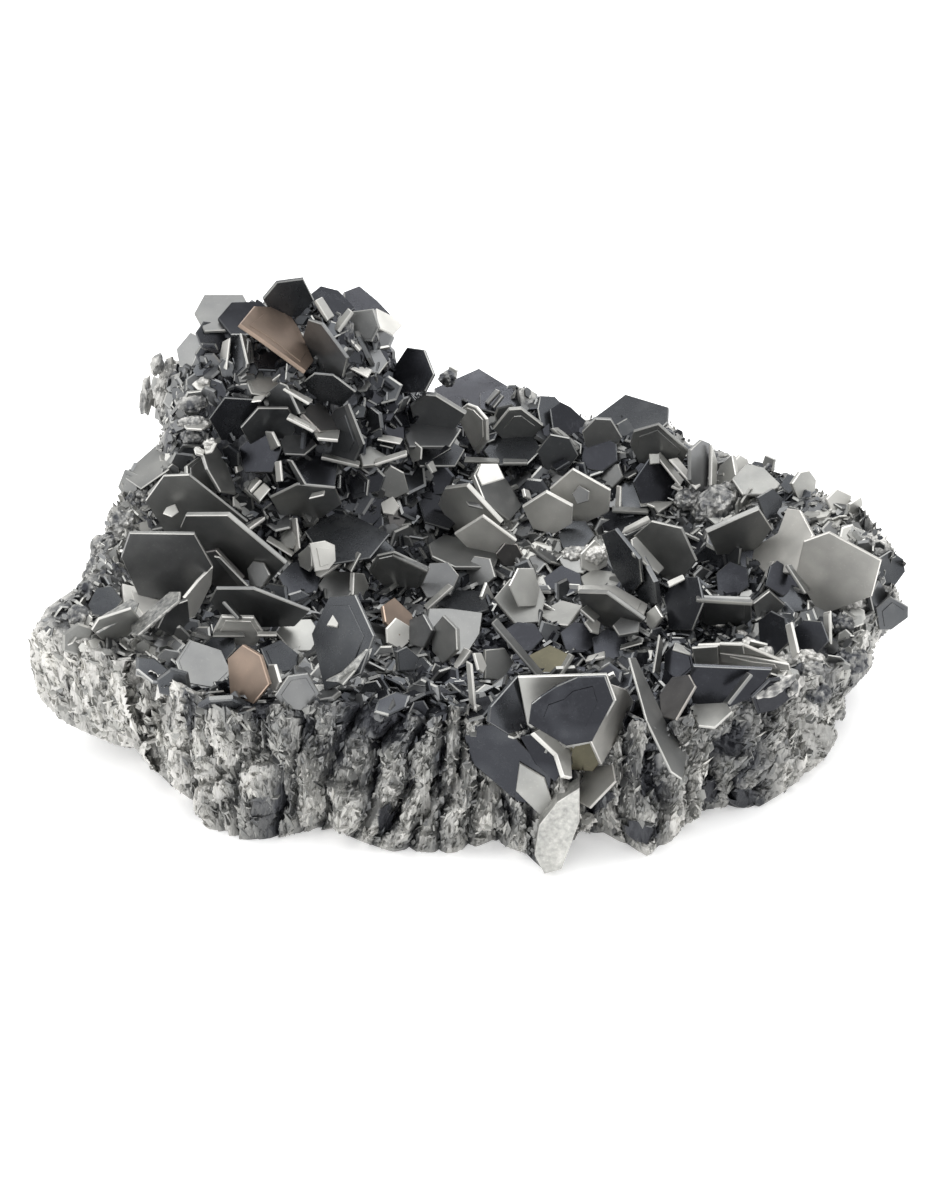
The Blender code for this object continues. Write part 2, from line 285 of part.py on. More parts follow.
def clear_scene():
    for obj in list(bpy.data.objects):
        bpy.data.objects.remove(obj, do_unlink=True)


def swell_height(x, y):
    """Height of the crust's top at a place, without its edge."""
    height = BOWL_LEVEL
    for cx, cy, half_x, half_y, rise, power in SWELLS:
        spread = ((x - cx) / half_x) ** 2 + ((y - cy) / half_y) ** 2
        height += rise * math.exp(-(spread ** (power / 2)))
    return height


def station_at(turn):
    """The crust's station at a turn from 0 to 1, straight between the listed ones."""
    place = turn * len(CRUST_STATIONS)
    first = int(place) % len(CRUST_STATIONS)
    share = place - int(place)
    one = np.array(CRUST_STATIONS[first], float)
    two = np.array(CRUST_STATIONS[(first + 1) % len(CRUST_STATIONS)], float)
    return one * (1 - share) + two * share


def wall_profile(station):
    """The wall at a station, from foot to rim, as points in space."""
    rim, waist, foot = station[:2], station[2:4], station[5:]
    height = swell_height(*rim) - RIM_DROP
    belly = waist * (1 - BELLY) + rim * BELLY
    middle = (station[4] + height) / 2
    return [(*foot, 0.0), (*waist, station[4]), (*belly, middle), (*rim, height)]


def wall_rings(rng):
    """Rings of the wall from foot to rim, each column pushed out or in to make ribs."""
    rings = [[] for _ in range(4)]
    for index in range(COLUMNS):
        station = station_at(index / COLUMNS)
        outward = station[:2] - CRUST_CENTRE
        outward /= np.linalg.norm(outward)
        push = rng.choice(COLUMN_PUSHES)
        for ring, (x, y, z) in zip(rings, wall_profile(station)):
            out = push + rng.uniform(-COLUMN_WAVER, COLUMN_WAVER)
            ring.append((x + outward[0] * out, y + outward[1] * out, z))
    return [fitted(ragged(ring, rng) if ring is rings[-1] else ring) for ring in rings]


def ragged(ring, rng):
    """A ring with each of its points a little higher or lower."""
    return [(x, y, z + rng.uniform(-RIM_RAGGEDNESS, RIM_RAGGEDNESS)) for x, y, z in ring]


def fitted(points):
    """Points drawn in towards the middle of the foot where they would fall outside the outline."""
    middle = np.array((*CRUST_CENTRE, 0.0))
    ring = np.array(OUTLINE) - (middle @ BOARD_RIGHT, middle @ BOARD_UP + BOARD_ORIGIN_UP)
    offsets = np.array(points) - middle
    across, up = offsets @ BOARD_RIGHT, offsets @ BOARD_UP
    ways, reaches = np.arctan2(ring[:, 1], ring[:, 0]), np.hypot(ring[:, 0], ring[:, 1])
    room = np.interp(np.arctan2(up, across), ways, reaches, period=2 * math.pi) - CRUST_MARGIN
    share = np.minimum(1.0, room / np.hypot(across, up))
    return [tuple(point) for point in middle + offsets * share[:, None]]


def inside_outline(x, y, outline):
    """Whether a place is inside a closed outline, by counting the edges a ray crosses."""
    crossings = 0
    for (x1, y1, _), (x2, y2, _) in zip(outline, outline[1:] + outline[:1]):
        if (y1 > y) != (y2 > y) and x < x1 + (y - y1) * (x2 - x1) / (y2 - y1):
            crossings += 1
    return crossings % 2 == 1


def top_points(rng, rim):
    """Points of the crust's top: a staggered lattice, shaken a little and lifted onto the swells."""
    points = []
    across, along = TOP_INSET
    middle = CRUST_CENTRE[1]
    inner = [(x * across, middle + (y - middle) * along, z) for x, y, z in rim]
    for row in TOP_ROWS:
        for step in TOP_STEPS:
            x = TOP_SPACING * (step + 0.5 * (row % 2) + rng.uniform(-TOP_SCATTER, TOP_SCATTER))
            y = TOP_SPACING * (ROW_PITCH * row + rng.uniform(-TOP_SCATTER, TOP_SCATTER))
            if inside_outline(x, y, inner):
                points.append((x, y, swell_height(x, y) + rng.uniform(-1, 1) * TOP_RELIEF))
    return fitted(points)


def crust_mesh():
    """The crust as a closed mesh: flat foot, ribbed wall, swollen top."""
    rng = random.Random(SEED)
    rings = wall_rings(rng)
    mesh = bmesh.new()
    rows = [[mesh.verts.new(point) for point in ring] for ring in rings]
    for lower, upper in zip(rows, rows[1:]):
        for i in range(COLUMNS):
            j = (i + 1) % COLUMNS
            mesh.faces.new((lower[i], lower[j], upper[j], upper[i]))
    mesh.faces.new(list(reversed(rows[0])))
    tops = top_points(rng, rings[-1])
    verts = rows[-1] + [mesh.verts.new(point) for point in tops]
    flat = [Vector(vert.co[:2]) for vert in verts]
    for face in delaunay_2d_cdt(flat, [], [list(range(COLUMNS))], 1, 1e-6)[2]:
        mesh.faces.new([verts[i] for i in face])
    bmesh.ops.triangulate(mesh, faces=mesh.faces)
    bmesh.ops.recalc_face_normals(mesh, faces=mesh.faces)
    return mesh


def board_vector(across, up):
    return BOARD_RIGHT * across + BOARD_UP * up


def outline_moments(corners):
    """Middle and second moments of an outline's area."""
    middle = corners.mean(axis=0)
    moments = np.zeros((2, 2))
    for one, two in zip(corners - middle, np.roll(corners, -1, axis=0) - middle):
        area = abs(one[0] * two[1] - one[1] * two[0]) / 2
        both = one + two
        moments += area / 12 * (np.outer(both, both) + np.outer(one, one) + np.outer(two, two))
    return middle, moments


def plate_normal(moments, facing):
    """A regular hexagon seen slanted is narrow across its lean, which gives the way its face points."""
    sizes, ways = np.linalg.eigh(moments)
    cosine = min(max(math.sqrt(sizes[0] / sizes[1]), SLANT_COSINES[0]), SLANT_COSINES[1])
    lean = ways[:, 0]
    if facing == "out":
        cosine = UPRIGHT_COSINE
        lean = np.array(FACINGS[facing])
    if lean @ np.array(FACINGS[facing]) < 0:
        lean = -lean
    return cosine * TO_VIEWER + math.sqrt(1 - cosine**2) * board_vector(*lean)


def crust_depth(tree, across, up):
    """How near the viewer the crust comes on one sight line, or None where the line misses it."""
    start = board_vector(across, up - BOARD_ORIGIN_UP) + SIGHT_START * TO_VIEWER
    hit = tree.ray_cast(Vector(start), Vector(-TO_VIEWER))[3]
    return None if hit is None else SIGHT_START - hit


def nearest_depth(tree, across, up):
    """For a sight line that misses the crust: the depth at which it passes nearest."""
    base = board_vector(across, up - BOARD_ORIGIN_UP)
    gaps = [tree.find_nearest(Vector(base + depth * TO_VIEWER))[3] for depth in SEARCH_DEPTHS]
    return float(SEARCH_DEPTHS[int(np.argmin(gaps))])


def placed_plate(tree, facing, outline):
    """Corners of a plate's front face in space, the way the face points, and the plate's thickness."""
    corners = np.array(outline, float)
    middle, moments = outline_moments(corners)
    normal = plate_normal(moments, facing)
    flat = [board_vector(*(corner - middle)) for corner in corners]
    slide = [-(normal @ vector) / (normal @ TO_VIEWER) for vector in flat]
    depths = [crust_depth(tree, *corner) for corner in corners]
    needed = [depth - step for depth, step in zip(depths, slide) if depth is not None]
    front = max(needed) if needed else nearest_depth(tree, *middle)
    centre = board_vector(middle[0], middle[1] - BOARD_ORIGIN_UP) + (front - PLATE_SINK) * TO_VIEWER
    placed = [centre + vector + step * TO_VIEWER for vector, step in zip(flat, slide)]
    lowest = min(corner[2] - abs(normal[2]) * FLOOR_REACH for corner in placed)
    dip = max(0.0, FLOOR_GAP - lowest) / TO_VIEWER[2]
    return [corner + TO_VIEWER * dip for corner in placed], normal, PLATE_THICKNESS + BACK_GROWTH * dip


def prism(corners, normal, thickness):
    """A closed plate: the front face, and a back face set behind it."""
    mesh = bmesh.new()
    front = [mesh.verts.new(corner) for corner in corners]
    back = [mesh.verts.new(corner - normal * thickness) for corner in corners]
    mesh.faces.new(front)
    mesh.faces.new(list(reversed(back)))
    for i in range(len(front)):
        j = (i + 1) % len(front)
        mesh.faces.new((front[j], front[i], back[i], back[j]))
    bmesh.ops.recalc_face_normals(mesh, faces=mesh.faces)
    return mesh


def hexagon(centre, normal, radius, spin):
    """Corners of a regular six-sided plate square to the normal."""
    across = np.cross(normal, HEXAGON_START)
    across /= np.linalg.norm(across)
    along = np.cross(normal, across)
    angles = [spin + k * math.pi / 3 for k in range(6)]
    return [centre + radius * (across * math.cos(a) + along * math.sin(a)) for a in angles]


def out_of_sight(tree, corners):
    """Whether the crust hides every corner from the viewer."""
    starts = [Vector(corner + SIGHT_GAP * TO_VIEWER) for corner in corners]
    return all(tree.ray_cast(start, Vector(TO_VIEWER))[3] for start in starts)


def aimed_plate(tree, rng, box):
    """One hexagon where a random ray from the far side meets the crust, or None if it would be seen."""
    aim = np.array([rng.uniform(*span) for span in box])
    bearing = math.radians(rng.uniform(*HIDDEN_BEARINGS))
    rise = math.radians(rng.uniform(*HIDDEN_RISES))
    level = np.array((math.cos(bearing), math.sin(bearing), 0.0)) * math.cos(rise)
    ray = level + np.array((0.0, 0.0, math.sin(rise)))
    place, surface, _, _ = tree.ray_cast(Vector(aim + HIDDEN_START * ray), Vector(-ray))
    radius = rng.uniform(*HIDDEN_RADIUS)
    lean = np.array([rng.uniform(-1, 1) for _ in range(3)])
    spin = rng.uniform(0, math.pi)
    if place is None:
        return None
    normal = np.array(surface) * HIDDEN_FLATNESS + lean
    normal /= np.linalg.norm(normal)
    centre = np.array(place) + np.array(surface) * HIDDEN_LIFT * radius
    corners = hexagon(centre, normal, radius, spin)
    if min(corner[2] for corner in corners) < HIDDEN_LOWEST or not out_of_sight(tree, corners):
        return None
    return corners, normal


def hidden_plates(tree):
    """Hexagons on the far side of the crust, as (corners, normal)."""
    rng = random.Random(SEED + 1)
    made = []
    for count, box in HIDDEN_AIMS:
        group = []
        while len(group) < count:
            plate = aimed_plate(tree, rng, box)
            if plate:
                group.append(plate)
        made += group
    return made


def add_object(name, mesh, collection):
    data = bpy.data.meshes.new(name)
    bmesh.ops.scale(mesh, vec=(MM, MM, MM), verts=mesh.verts)
    mesh.to_mesh(data)
    mesh.free()
    obj = bpy.data.objects.new(name, data)
    collection.objects.link(obj)
    return obj


def plate_meshes(tree):
    meshes = []
    for facing, *outline in KNOB + SADDLE + MIDDLE + RIGHT + FRONT:
        meshes.append(prism(*placed_plate(tree, facing, outline)))
    meshes += [prism(corners, normal, PLATE_THICKNESS) for corners, normal in hidden_plates(tree)]
    return meshes


def crystal_material():
    material = bpy.data.materials.new("silicon_carbide")
    material.use_nodes = True
    shader = material.node_tree.nodes["Principled BSDF"]
    shader.inputs["Base Color"].default_value = (0.06, 0.065, 0.07, 1)
    shader.inputs["Roughness"].default_value = 0.25
    shader.inputs["Metallic"].default_value = 0.0
    shader.inputs["IOR"].default_value = 2.65
    return material


def largest_body(mesh):
    """The vertices of the largest connected body of a mesh."""
    left = set(mesh.verts)
    largest = set()
    while left:
        body = {left.pop()}
        edge = list(body)
        while edge:
            vert = edge.pop()
            for link in vert.link_edges:
                other = link.other_vert(vert)
                if other in left:
                    left.remove(other)
                    body.add(other)
                    edge.append(other)
        largest = max(largest, body, key=len)
    return largest


def apply_union(cluster, plates):
    """Replace the crust's mesh by its union with the plates, without the crumbs that the union leaves."""
    union = cluster.modifiers.new("grown_together", "BOOLEAN")
    union.operation = "UNION"
    union.operand_type = "COLLECTION"
    union.collection = plates
    union.solver = "EXACT"
    bpy.context.view_layer.update()
    graph = bpy.context.evaluated_depsgraph_get()
    joined = bpy.data.meshes.new_from_object(cluster.evaluated_get(graph))
    mesh = bmesh.new()
    mesh.from_mesh(joined)
    kept = largest_body(mesh)
    bmesh.ops.delete(mesh, geom=[vert for vert in mesh.verts if vert not in kept], context="VERTS")
    mesh.to_mesh(joined)
    mesh.free()
    cluster.modifiers.clear()
    cluster.data = joined
    for helper in list(plates.objects):
        bpy.data.objects.remove(helper, do_unlink=True)


def build():
    clear_scene()
    crust = crust_mesh()
    tree = BVHTree.FromBMesh(crust)
    plates = bpy.data.collections.new("plates")
    bpy.context.scene.collection.children.link(plates)
    for index, mesh in enumerate(plate_meshes(tree)):
        helper = add_object(f"plate_{index:03d}", mesh, plates)
        helper.hide_render = True
        helper.display_type = "WIRE"
    cluster = add_object("silicon_carbide_cluster", crust, bpy.context.scene.collection)
    cluster.data.materials.append(crystal_material())
    apply_union(cluster, plates)


build()
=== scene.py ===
# %% [markdown]
# # A silicon carbide crystal cluster
# The object is one fused lump from a furnace: a thick crust of silver-grey columns, with hundreds of
# thin, dark, six-sided plates grown out of its top. The solid itself is hidden at the end, because
# finer meshes of the same crust and the same plates stand in its place.

# %% Load the fixed frame
import math
import random

import bmesh
import bpy
import numpy as np
from mathutils import Matrix, Vector, noise
from mathutils.bvhtree import BVHTree
from mathutils.geometry import delaunay_2d_cdt


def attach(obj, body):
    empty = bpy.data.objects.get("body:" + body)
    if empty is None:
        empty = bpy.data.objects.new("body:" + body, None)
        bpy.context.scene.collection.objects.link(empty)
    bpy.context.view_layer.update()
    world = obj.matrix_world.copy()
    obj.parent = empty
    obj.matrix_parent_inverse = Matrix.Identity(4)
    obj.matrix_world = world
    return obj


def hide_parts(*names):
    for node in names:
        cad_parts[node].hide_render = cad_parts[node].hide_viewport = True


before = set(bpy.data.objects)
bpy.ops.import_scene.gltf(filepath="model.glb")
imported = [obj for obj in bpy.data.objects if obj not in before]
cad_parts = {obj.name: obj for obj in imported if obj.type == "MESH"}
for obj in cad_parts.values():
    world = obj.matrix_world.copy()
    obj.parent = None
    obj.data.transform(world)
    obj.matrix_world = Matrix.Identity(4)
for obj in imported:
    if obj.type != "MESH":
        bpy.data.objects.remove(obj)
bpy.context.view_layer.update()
NODE = "silicon_carbide_cluster"
MM = 0.001

# %% [markdown]
# ## The board
# Flat crystals are easiest to place from one side. So their outlines are drawn on a board that stands
# square to a sight line 35 degrees above the horizon, and each is then slid along that line until it
# sits in the crust. One unit is a millimetre.

# %% The board and the sight line
SIGHT_RISE = math.radians(35.0)
BOARD_RIGHT = np.array((1.0, 0.0, 0.0))
BOARD_UP = np.array((0.0, math.sin(SIGHT_RISE), math.cos(SIGHT_RISE)))
TO_VIEWER = np.array((0.0, -math.cos(SIGHT_RISE), math.sin(SIGHT_RISE)))
BOARD_ORIGIN_UP = 17.5


def board_vector(across, up):
    return BOARD_RIGHT * across + BOARD_UP * up


def board_point(across, up):
    """The point in space that stands at a place on the board."""
    return board_vector(across, up - BOARD_ORIGIN_UP)


def on_board(points):
    """How far across and how far up the board a point in space, or each of many, is seen."""
    return points @ BOARD_RIGHT, points @ BOARD_UP + BOARD_ORIGIN_UP


print("sight line:", np.round(TO_VIEWER, 3))

# %% [markdown]
# ## The crust that everything grows on
# The real crust is a slab with flared walls, open columns all round it, and a knob at one back corner.
# Stations round its outline give the rim, the waist and the foot, and a few swells give the height of
# the top. The plates are placed on a coarse copy of it, the same that the solid was made from, so that
# each plate stands just where the solid has it.

# %% Stations round the crust: rim x, y, waist x, y, z, foot x, y
CRUST_STATIONS = [
    (-33, -19, -33, -18, 4, -31, -16), (-30.5, -23, -30, -21.5, 4, -28.5, -21),
    (-26, -25.5, -26, -25, 4, -25.5, -24), (-21, -26, -21, -25, 4, -21, -24),
    (-17, -25, -17, -23.5, 4, -17, -22), (-12, -26.5, -12, -26, 4, -12, -25),
    (-7, -27.5, -7, -27.5, 4, -7, -26.3), (-2, -28, -2, -28, 4, -2, -26.5),
    (3.5, -27.5, 3.5, -27, 4, 4, -24.8), (8.7, -28, 8.7, -29.6, 4, 9, -29.8),
    (12, -27.5, 12, -26.5, 4, 12, -24.5), (16, -26, 16, -25, 4, 16, -23),
    (21, -27.5, 21, -28, 4, 21, -27), (25, -25, 25, -22.5, 4, 24.5, -21),
    (29, -22.5, 29, -20, 4, 28.5, -17.5), (34, -20.5, 34, -19.5, 4, 34, -18),
    (38.5, -16, 38.5, -14.5, 4, 37.5, -12.5), (43, -10.5, 42.5, -9.5, 5, 40, -8),
    (46.5, -4, 46, -3, 7, 42, -3), (49.3, 3, 48.3, 3.5, 9, 43, 3), (49, 8, 47, 8, 9, 42, 8),
    (45.5, 13, 44, 13, 6, 40, 12), (41.5, 19.5, 40, 18, 5, 36, 15.5), (35, 24.5, 34, 22.5, 5, 31, 19.5),
    (27.5, 27, 27, 25, 5, 25, 22.5), (20, 30.5, 20, 28.5, 5, 18, 25), (12, 31.5, 12, 29.5, 5, 11, 26),
    (4, 31.5, 4, 29.5, 5, 4, 26.5), (-4, 31.5, -4, 29.5, 5, -4, 26.5), (-12, 33, -12, 31, 5, -12, 27.5),
    (-20, 34, -20, 32, 5, -19, 28), (-28, 31, -28, 29, 5, -26, 25), (-34.5, 25, -33.5, 23, 5, -31, 20),
    (-38, 18, -37, 17, 5, -34, 14), (-40.5, 11, -39.5, 10, 5, -35, 8), (-42, 6, -41, 5, 5, -35.5, 4),
    (-44.5, 1.5, -43.5, 0.5, 5, -36, 1), (-47.5, -3, -46.5, -3.5, 5, -36, -2),
    (-49.3, -5.5, -48.6, -5.5, 5, -36, -4), (-47, -8, -46, -7.5, 4.5, -35.5, -6),
    (-43, -10.5, -42.5, -9.8, 4.5, -35, -8.5), (-38, -14, -38, -12.5, 4.5, -33.5, -11.5),
]
# Each swell of the top: its place x, y, half sizes, rise, and how steep its sides are.
SWELLS = [
    (-20.5, 21.5, 15.4, 10.8, 24.0, 4), (7.0, 31.0, 20.0, 10.0, 7.0, 2), (23.0, 27.0, 9.0, 9.0, 2.5, 2),
    (-41.0, 12.0, 8.0, 12.0, 5.0, 2), (-8.0, -28.0, 36.0, 9.0, 5.5, 2), (44.0, 14.0, 13.0, 13.0, 6.0, 2),
    (-46.0, -6.0, 9.0, 7.0, 2.5, 2),
]
# The whole cluster's outline on the board, anticlockwise.
OUTLINE = [
    (50.3, 35), (49, 36.1), (44.5, 42.1), (40, 42.9), (39.6, 45.1), (36.9, 45.1), (34.3, 45.9), (31.3, 47),
    (27.9, 48.8), (26, 48.5), (23.3, 51.2), (23, 52.9), (18.4, 54.2), (14.3, 51.3), (10.1, 54.2), (4.8, 55.7),
    (1.8, 57.2), (-2, 57.4), (-3.1, 56.1), (-4.2, 59), (-5.9, 59.9), (-6.9, 62.3), (-9.1, 64), (-11.8, 66.3),
    (-16.3, 66.3), (-20.1, 67), (-24.6, 65.4), (-29.9, 65.2), (-30.6, 61), (-34.4, 57), (-35.8, 55),
    (-34.7, 51.6), (-33.9, 49.5), (-35.2, 48), (-38.4, 45.3), (-39.3, 43.3), (-40.6, 40.6), (-40.9, 37.6),
    (-42.4, 34.7), (-43.9, 32.3), (-47.3, 30), (-49.2, 26.3), (-49.2, 23.2), (-48, 19.5), (-45, 16.8),
    (-39, 14.3), (-37.4, 14.2), (-31, 8.2), (-30.7, 5.9), (-27.6, 4), (-23.9, 3.3), (-19.3, 4.4), (-14.8, 5),
    (-10.3, 3), (-7.2, 2.1), (-0.5, 2.3), (3.3, 3.6), (7.1, 2.1), (9.4, 0), (11.2, 1), (13.1, 4.8),
    (18, 3.4), (20.3, 1.6), (22.2, 2.9), (29, 7.4), (31.6, 6.5), (36.5, 9.3), (41.1, 13), (43.4, 17.2),
    (43, 19.9), (46.3, 23.3), (46.3, 25.5), (49.9, 29.7), (48.6, 33.1),
]
CRUST_CENTRE = np.array((0.0, 3.0))
TOP_HEIGHT = 16.0
RIM_DROP = 1.2
SEED = 26


def swell_height(x, y):
    """Height of the crust's top at a place, or at many at once."""
    height = TOP_HEIGHT + 0.0 * np.asarray(x)
    for cx, cy, half_x, half_y, rise, power in SWELLS:
        spread = ((x - cx) / half_x) ** 2 + ((y - cy) / half_y) ** 2
        height = height + rise * np.exp(-(spread ** (power / 2)))
    return height


def station_at(turn):
    """The crust's station at a turn from 0 to 1, straight between the listed ones."""
    place = turn * len(CRUST_STATIONS)
    first = int(place) % len(CRUST_STATIONS)
    share = place - int(place)
    one = np.array(CRUST_STATIONS[first], float)
    two = np.array(CRUST_STATIONS[(first + 1) % len(CRUST_STATIONS)], float)
    return one * (1 - share) + two * share


def wall_profile(station):
    """The wall at a station, from foot to rim, as points in space."""
    rim, waist, foot = station[:2], station[2:4], station[5:]
    height = swell_height(*rim) - RIM_DROP
    belly = waist * 0.4 + rim * 0.6
    return [(*foot, 0.0), (*waist, station[4]), (*belly, (station[4] + height) / 2), (*rim, height)]


print(len(CRUST_STATIONS), "stations; knob's top at", round(float(swell_height(*SWELLS[0][:2])), 1), "mm")

# %% Keep the crust inside the outline
def fitted(points, margin=0.6):
    """Points drawn in towards the middle of the foot where they would fall outside the outline."""
    middle = np.array((*CRUST_CENTRE, 0.0))
    ring = np.array(OUTLINE) - on_board(middle)
    offsets = np.array(points) - middle
    across, up = offsets @ BOARD_RIGHT, offsets @ BOARD_UP
    ways, reaches = np.arctan2(ring[:, 1], ring[:, 0]), np.hypot(ring[:, 0], ring[:, 1])
    room = np.interp(np.arctan2(up, across), ways, reaches, period=2 * math.pi) - margin
    share = np.minimum(1.0, room / np.hypot(across, up))
    return [tuple(point) for point in middle + offsets * share[:, None]]


far_point = (90.0, 3.0, 0.0)
print("a point at", far_point, "is drawn in to", [round(float(v), 1) for v in fitted([far_point])[0]])

# %% Rings of the coarse wall
COLUMNS = 100
COLUMN_PUSHES = (-1.2, -0.7, 0.0, 0.5, 1.0)
COLUMN_JITTER = 0.35
RIM_JITTER = 1.1


def wall_rings(rng):
    """Rings of the coarse wall, each column pushed out or in."""
    rings = [[] for _ in range(4)]
    for index in range(COLUMNS):
        station = station_at(index / COLUMNS)
        outward = station[:2] - CRUST_CENTRE
        outward /= np.linalg.norm(outward)
        push = rng.choice(COLUMN_PUSHES)
        for ring, (x, y, z) in zip(rings, wall_profile(station)):
            out = push + rng.uniform(-COLUMN_JITTER, COLUMN_JITTER)
            ring.append((x + outward[0] * out, y + outward[1] * out, z))
    rings[-1] = [(x, y, z + rng.uniform(-RIM_JITTER, RIM_JITTER)) for x, y, z in rings[-1]]
    return [fitted(ring) for ring in rings]


dice = random.Random(SEED)
coarse_rings = wall_rings(dice)
print(len(coarse_rings), "rings of", len(coarse_rings[0]), "points")

# %% Points of the top
HALF_TOP_WIDTH, HALF_TOP_DEPTH = 57.2, 41.6
TOP_INSET = (0.95, 0.94)
ROW_STEP = 0.87
LATTICE_JITTER = 0.2


def inside_outline(x, y, outline):
    """Whether one place is inside a closed outline, by counting the edges a ray crosses."""
    crossings = 0
    for (x1, y1), (x2, y2) in zip(outline, outline[1:] + outline[:1]):
        if (y1 > y) != (y2 > y) and x < x1 + (y - y1) * (x2 - x1) / (y2 - y1):
            crossings += 1
    return crossings % 2 == 1


def top_points(rng, rim, spacing, relief):
    """A staggered lattice over the top, each point moved a little and lifted onto the swells."""
    points = []
    middle = float(CRUST_CENTRE[1])
    inner = [(x * TOP_INSET[0], middle + (y - middle) * TOP_INSET[1]) for x, y, z in rim]
    rows, steps = round(HALF_TOP_DEPTH / spacing), round(HALF_TOP_WIDTH / spacing)
    for row in range(-rows, rows + 1):
        for step in range(-steps, steps + 1):
            x = spacing * (step + 0.5 * (row % 2) + rng.uniform(-LATTICE_JITTER, LATTICE_JITTER))
            y = spacing * (ROW_STEP * row + rng.uniform(-LATTICE_JITTER, LATTICE_JITTER))
            if inside_outline(x, y, inner):
                points.append((x, y, float(swell_height(x, y)) + rng.uniform(-1, 1) * relief))
    return fitted(points)


coarse_top = top_points(dice, coarse_rings[-1], spacing=5.2, relief=0.9)
print(len(coarse_top), "points on the top")

# %% Close the coarse crust
MERGE = 1e-6


def top_faces(points, rim_count):
    """Triangles between points seen from above, the first of which are the rim."""
    flat = [Vector(point[:2]) for point in points]
    return delaunay_2d_cdt(flat, [], [list(range(rim_count))], 1, MERGE)[2]


def band(mesh, lower, upper, layer=None, values=None):
    """Side faces between two rings of corners; each takes its own value on a layer, if one is given."""
    for i in range(len(lower)):
        j = (i + 1) % len(lower)
        face = mesh.faces.new((lower[i], lower[j], upper[j], upper[i]))
        if layer is not None:
            face[layer] = values[i]


def closed_crust(rings, tops):
    """A closed mesh from rings of the wall and points of the top."""
    mesh = bmesh.new()
    rows = [[mesh.verts.new(point) for point in ring] for ring in rings]
    for lower, upper in zip(rows, rows[1:]):
        band(mesh, lower, upper)
    mesh.faces.new(list(reversed(rows[0])))
    verts = rows[-1] + [mesh.verts.new(point) for point in tops]
    for face in top_faces([vert.co for vert in verts], len(rings[0])):
        mesh.faces.new([verts[i] for i in face])
    bmesh.ops.triangulate(mesh, faces=mesh.faces)
    bmesh.ops.recalc_face_normals(mesh, faces=mesh.faces)
    return mesh


coarse = closed_crust(coarse_rings, coarse_top)
CRUST_TREE = BVHTree.FromBMesh(coarse)
print("coarse crust:", len(coarse.faces), "faces")
coarse.free()

# %% [markdown]
# ## From an outline to a plate
# A crystal seen square on is a regular hexagon. Seen slanted it is narrow along its lean, so the second
# moments of a drawn outline tell how the plate lies. The plate is then slid along the sight line until
# its nearest corner is set into the crust.

# %% How a drawn plate lies
FACINGS = {"up": (0, 1), "down": (0, -1), "left": (-1, 0), "right": (1, 0), "out": (0, -1)}
SLANT_COSINES = (0.42, 0.96)
OUT_COSINE = 0.86


def outline_moments(corners):
    """Middle and second moments of an outline's area."""
    middle = corners.mean(axis=0)
    moments = np.zeros((2, 2))
    for one, two in zip(corners - middle, np.roll(corners, -1, axis=0) - middle):
        area = abs(one[0] * two[1] - one[1] * two[0]) / 2
        both = one + two
        moments += area / 12 * (np.outer(both, both) + np.outer(one, one) + np.outer(two, two))
    return middle, moments


def plate_normal(moments, facing):
    """The way a plate's face points, from how narrow its outline is and the side it leans to."""
    sizes, ways = np.linalg.eigh(moments)
    least, most = SLANT_COSINES
    cosine = min(max(math.sqrt(sizes[0] / sizes[1]), least), most)
    side = np.array(FACINGS[facing])
    lean = ways[:, 0]
    if facing == "out":
        cosine, lean = OUT_COSINE, side
    if lean @ side < 0:
        lean = -lean
    return cosine * TO_VIEWER + math.sqrt(1 - cosine**2) * board_vector(*lean)


square_on = outline_moments(np.array([(0, 0), (4, 0), (4, 4), (0, 4)], float))
print("a square 4 mm wide has its middle at", square_on[0], "and equal moments", np.diag(square_on[1]))

# %% Slide it along the sight line
PLATE_THICKNESS = 0.9
PLATE_SINK = 0.9
FOOT_CLEARANCE = 0.3
FAR_OFF = 200
DEPTHS = np.arange(-40, 40, 0.5)


def crust_depth(across, up):
    """How near the viewer the crust comes on one sight line, or None where the line misses it."""
    start = board_point(across, up) + FAR_OFF * TO_VIEWER
    hit = CRUST_TREE.ray_cast(Vector(start), Vector(-TO_VIEWER))[3]
    return None if hit is None else FAR_OFF - hit


def nearest_depth(across, up):
    """For a sight line that misses the crust: the depth at which it passes nearest."""
    base = board_point(across, up)
    gaps = [CRUST_TREE.find_nearest(Vector(base + depth * TO_VIEWER))[3] for depth in DEPTHS]
    return float(DEPTHS[int(np.argmin(gaps))])


def placed_plate(facing, outline):
    """Corners of a plate's front face, the way the face points, and the plate's thickness."""
    corners = np.array(outline, float)
    middle, moments = outline_moments(corners)
    normal = plate_normal(moments, facing)
    flat = [board_vector(*(corner - middle)) for corner in corners]
    slide = [-(normal @ vector) / (normal @ TO_VIEWER) for vector in flat]
    depths = [crust_depth(*corner) for corner in corners]
    needed = [depth - step for depth, step in zip(depths, slide) if depth is not None]
    front = max(needed) if needed else nearest_depth(*middle)
    centre = board_point(*middle) + (front - PLATE_SINK) * TO_VIEWER
    placed = [centre + vector + step * TO_VIEWER for vector, step in zip(flat, slide)]
    lowest = min(corner[2] - abs(normal[2]) * 3 * PLATE_THICKNESS for corner in placed)
    dip = max(0.0, FOOT_CLEARANCE - lowest) / TO_VIEWER[2]
    return [corner + TO_VIEWER * dip for corner in placed], normal, PLATE_THICKNESS + 1.5 * dip


print("the crust's front comes to", round(crust_depth(0.0, 10.0), 1), "mm on the sight line at (0, 10)")

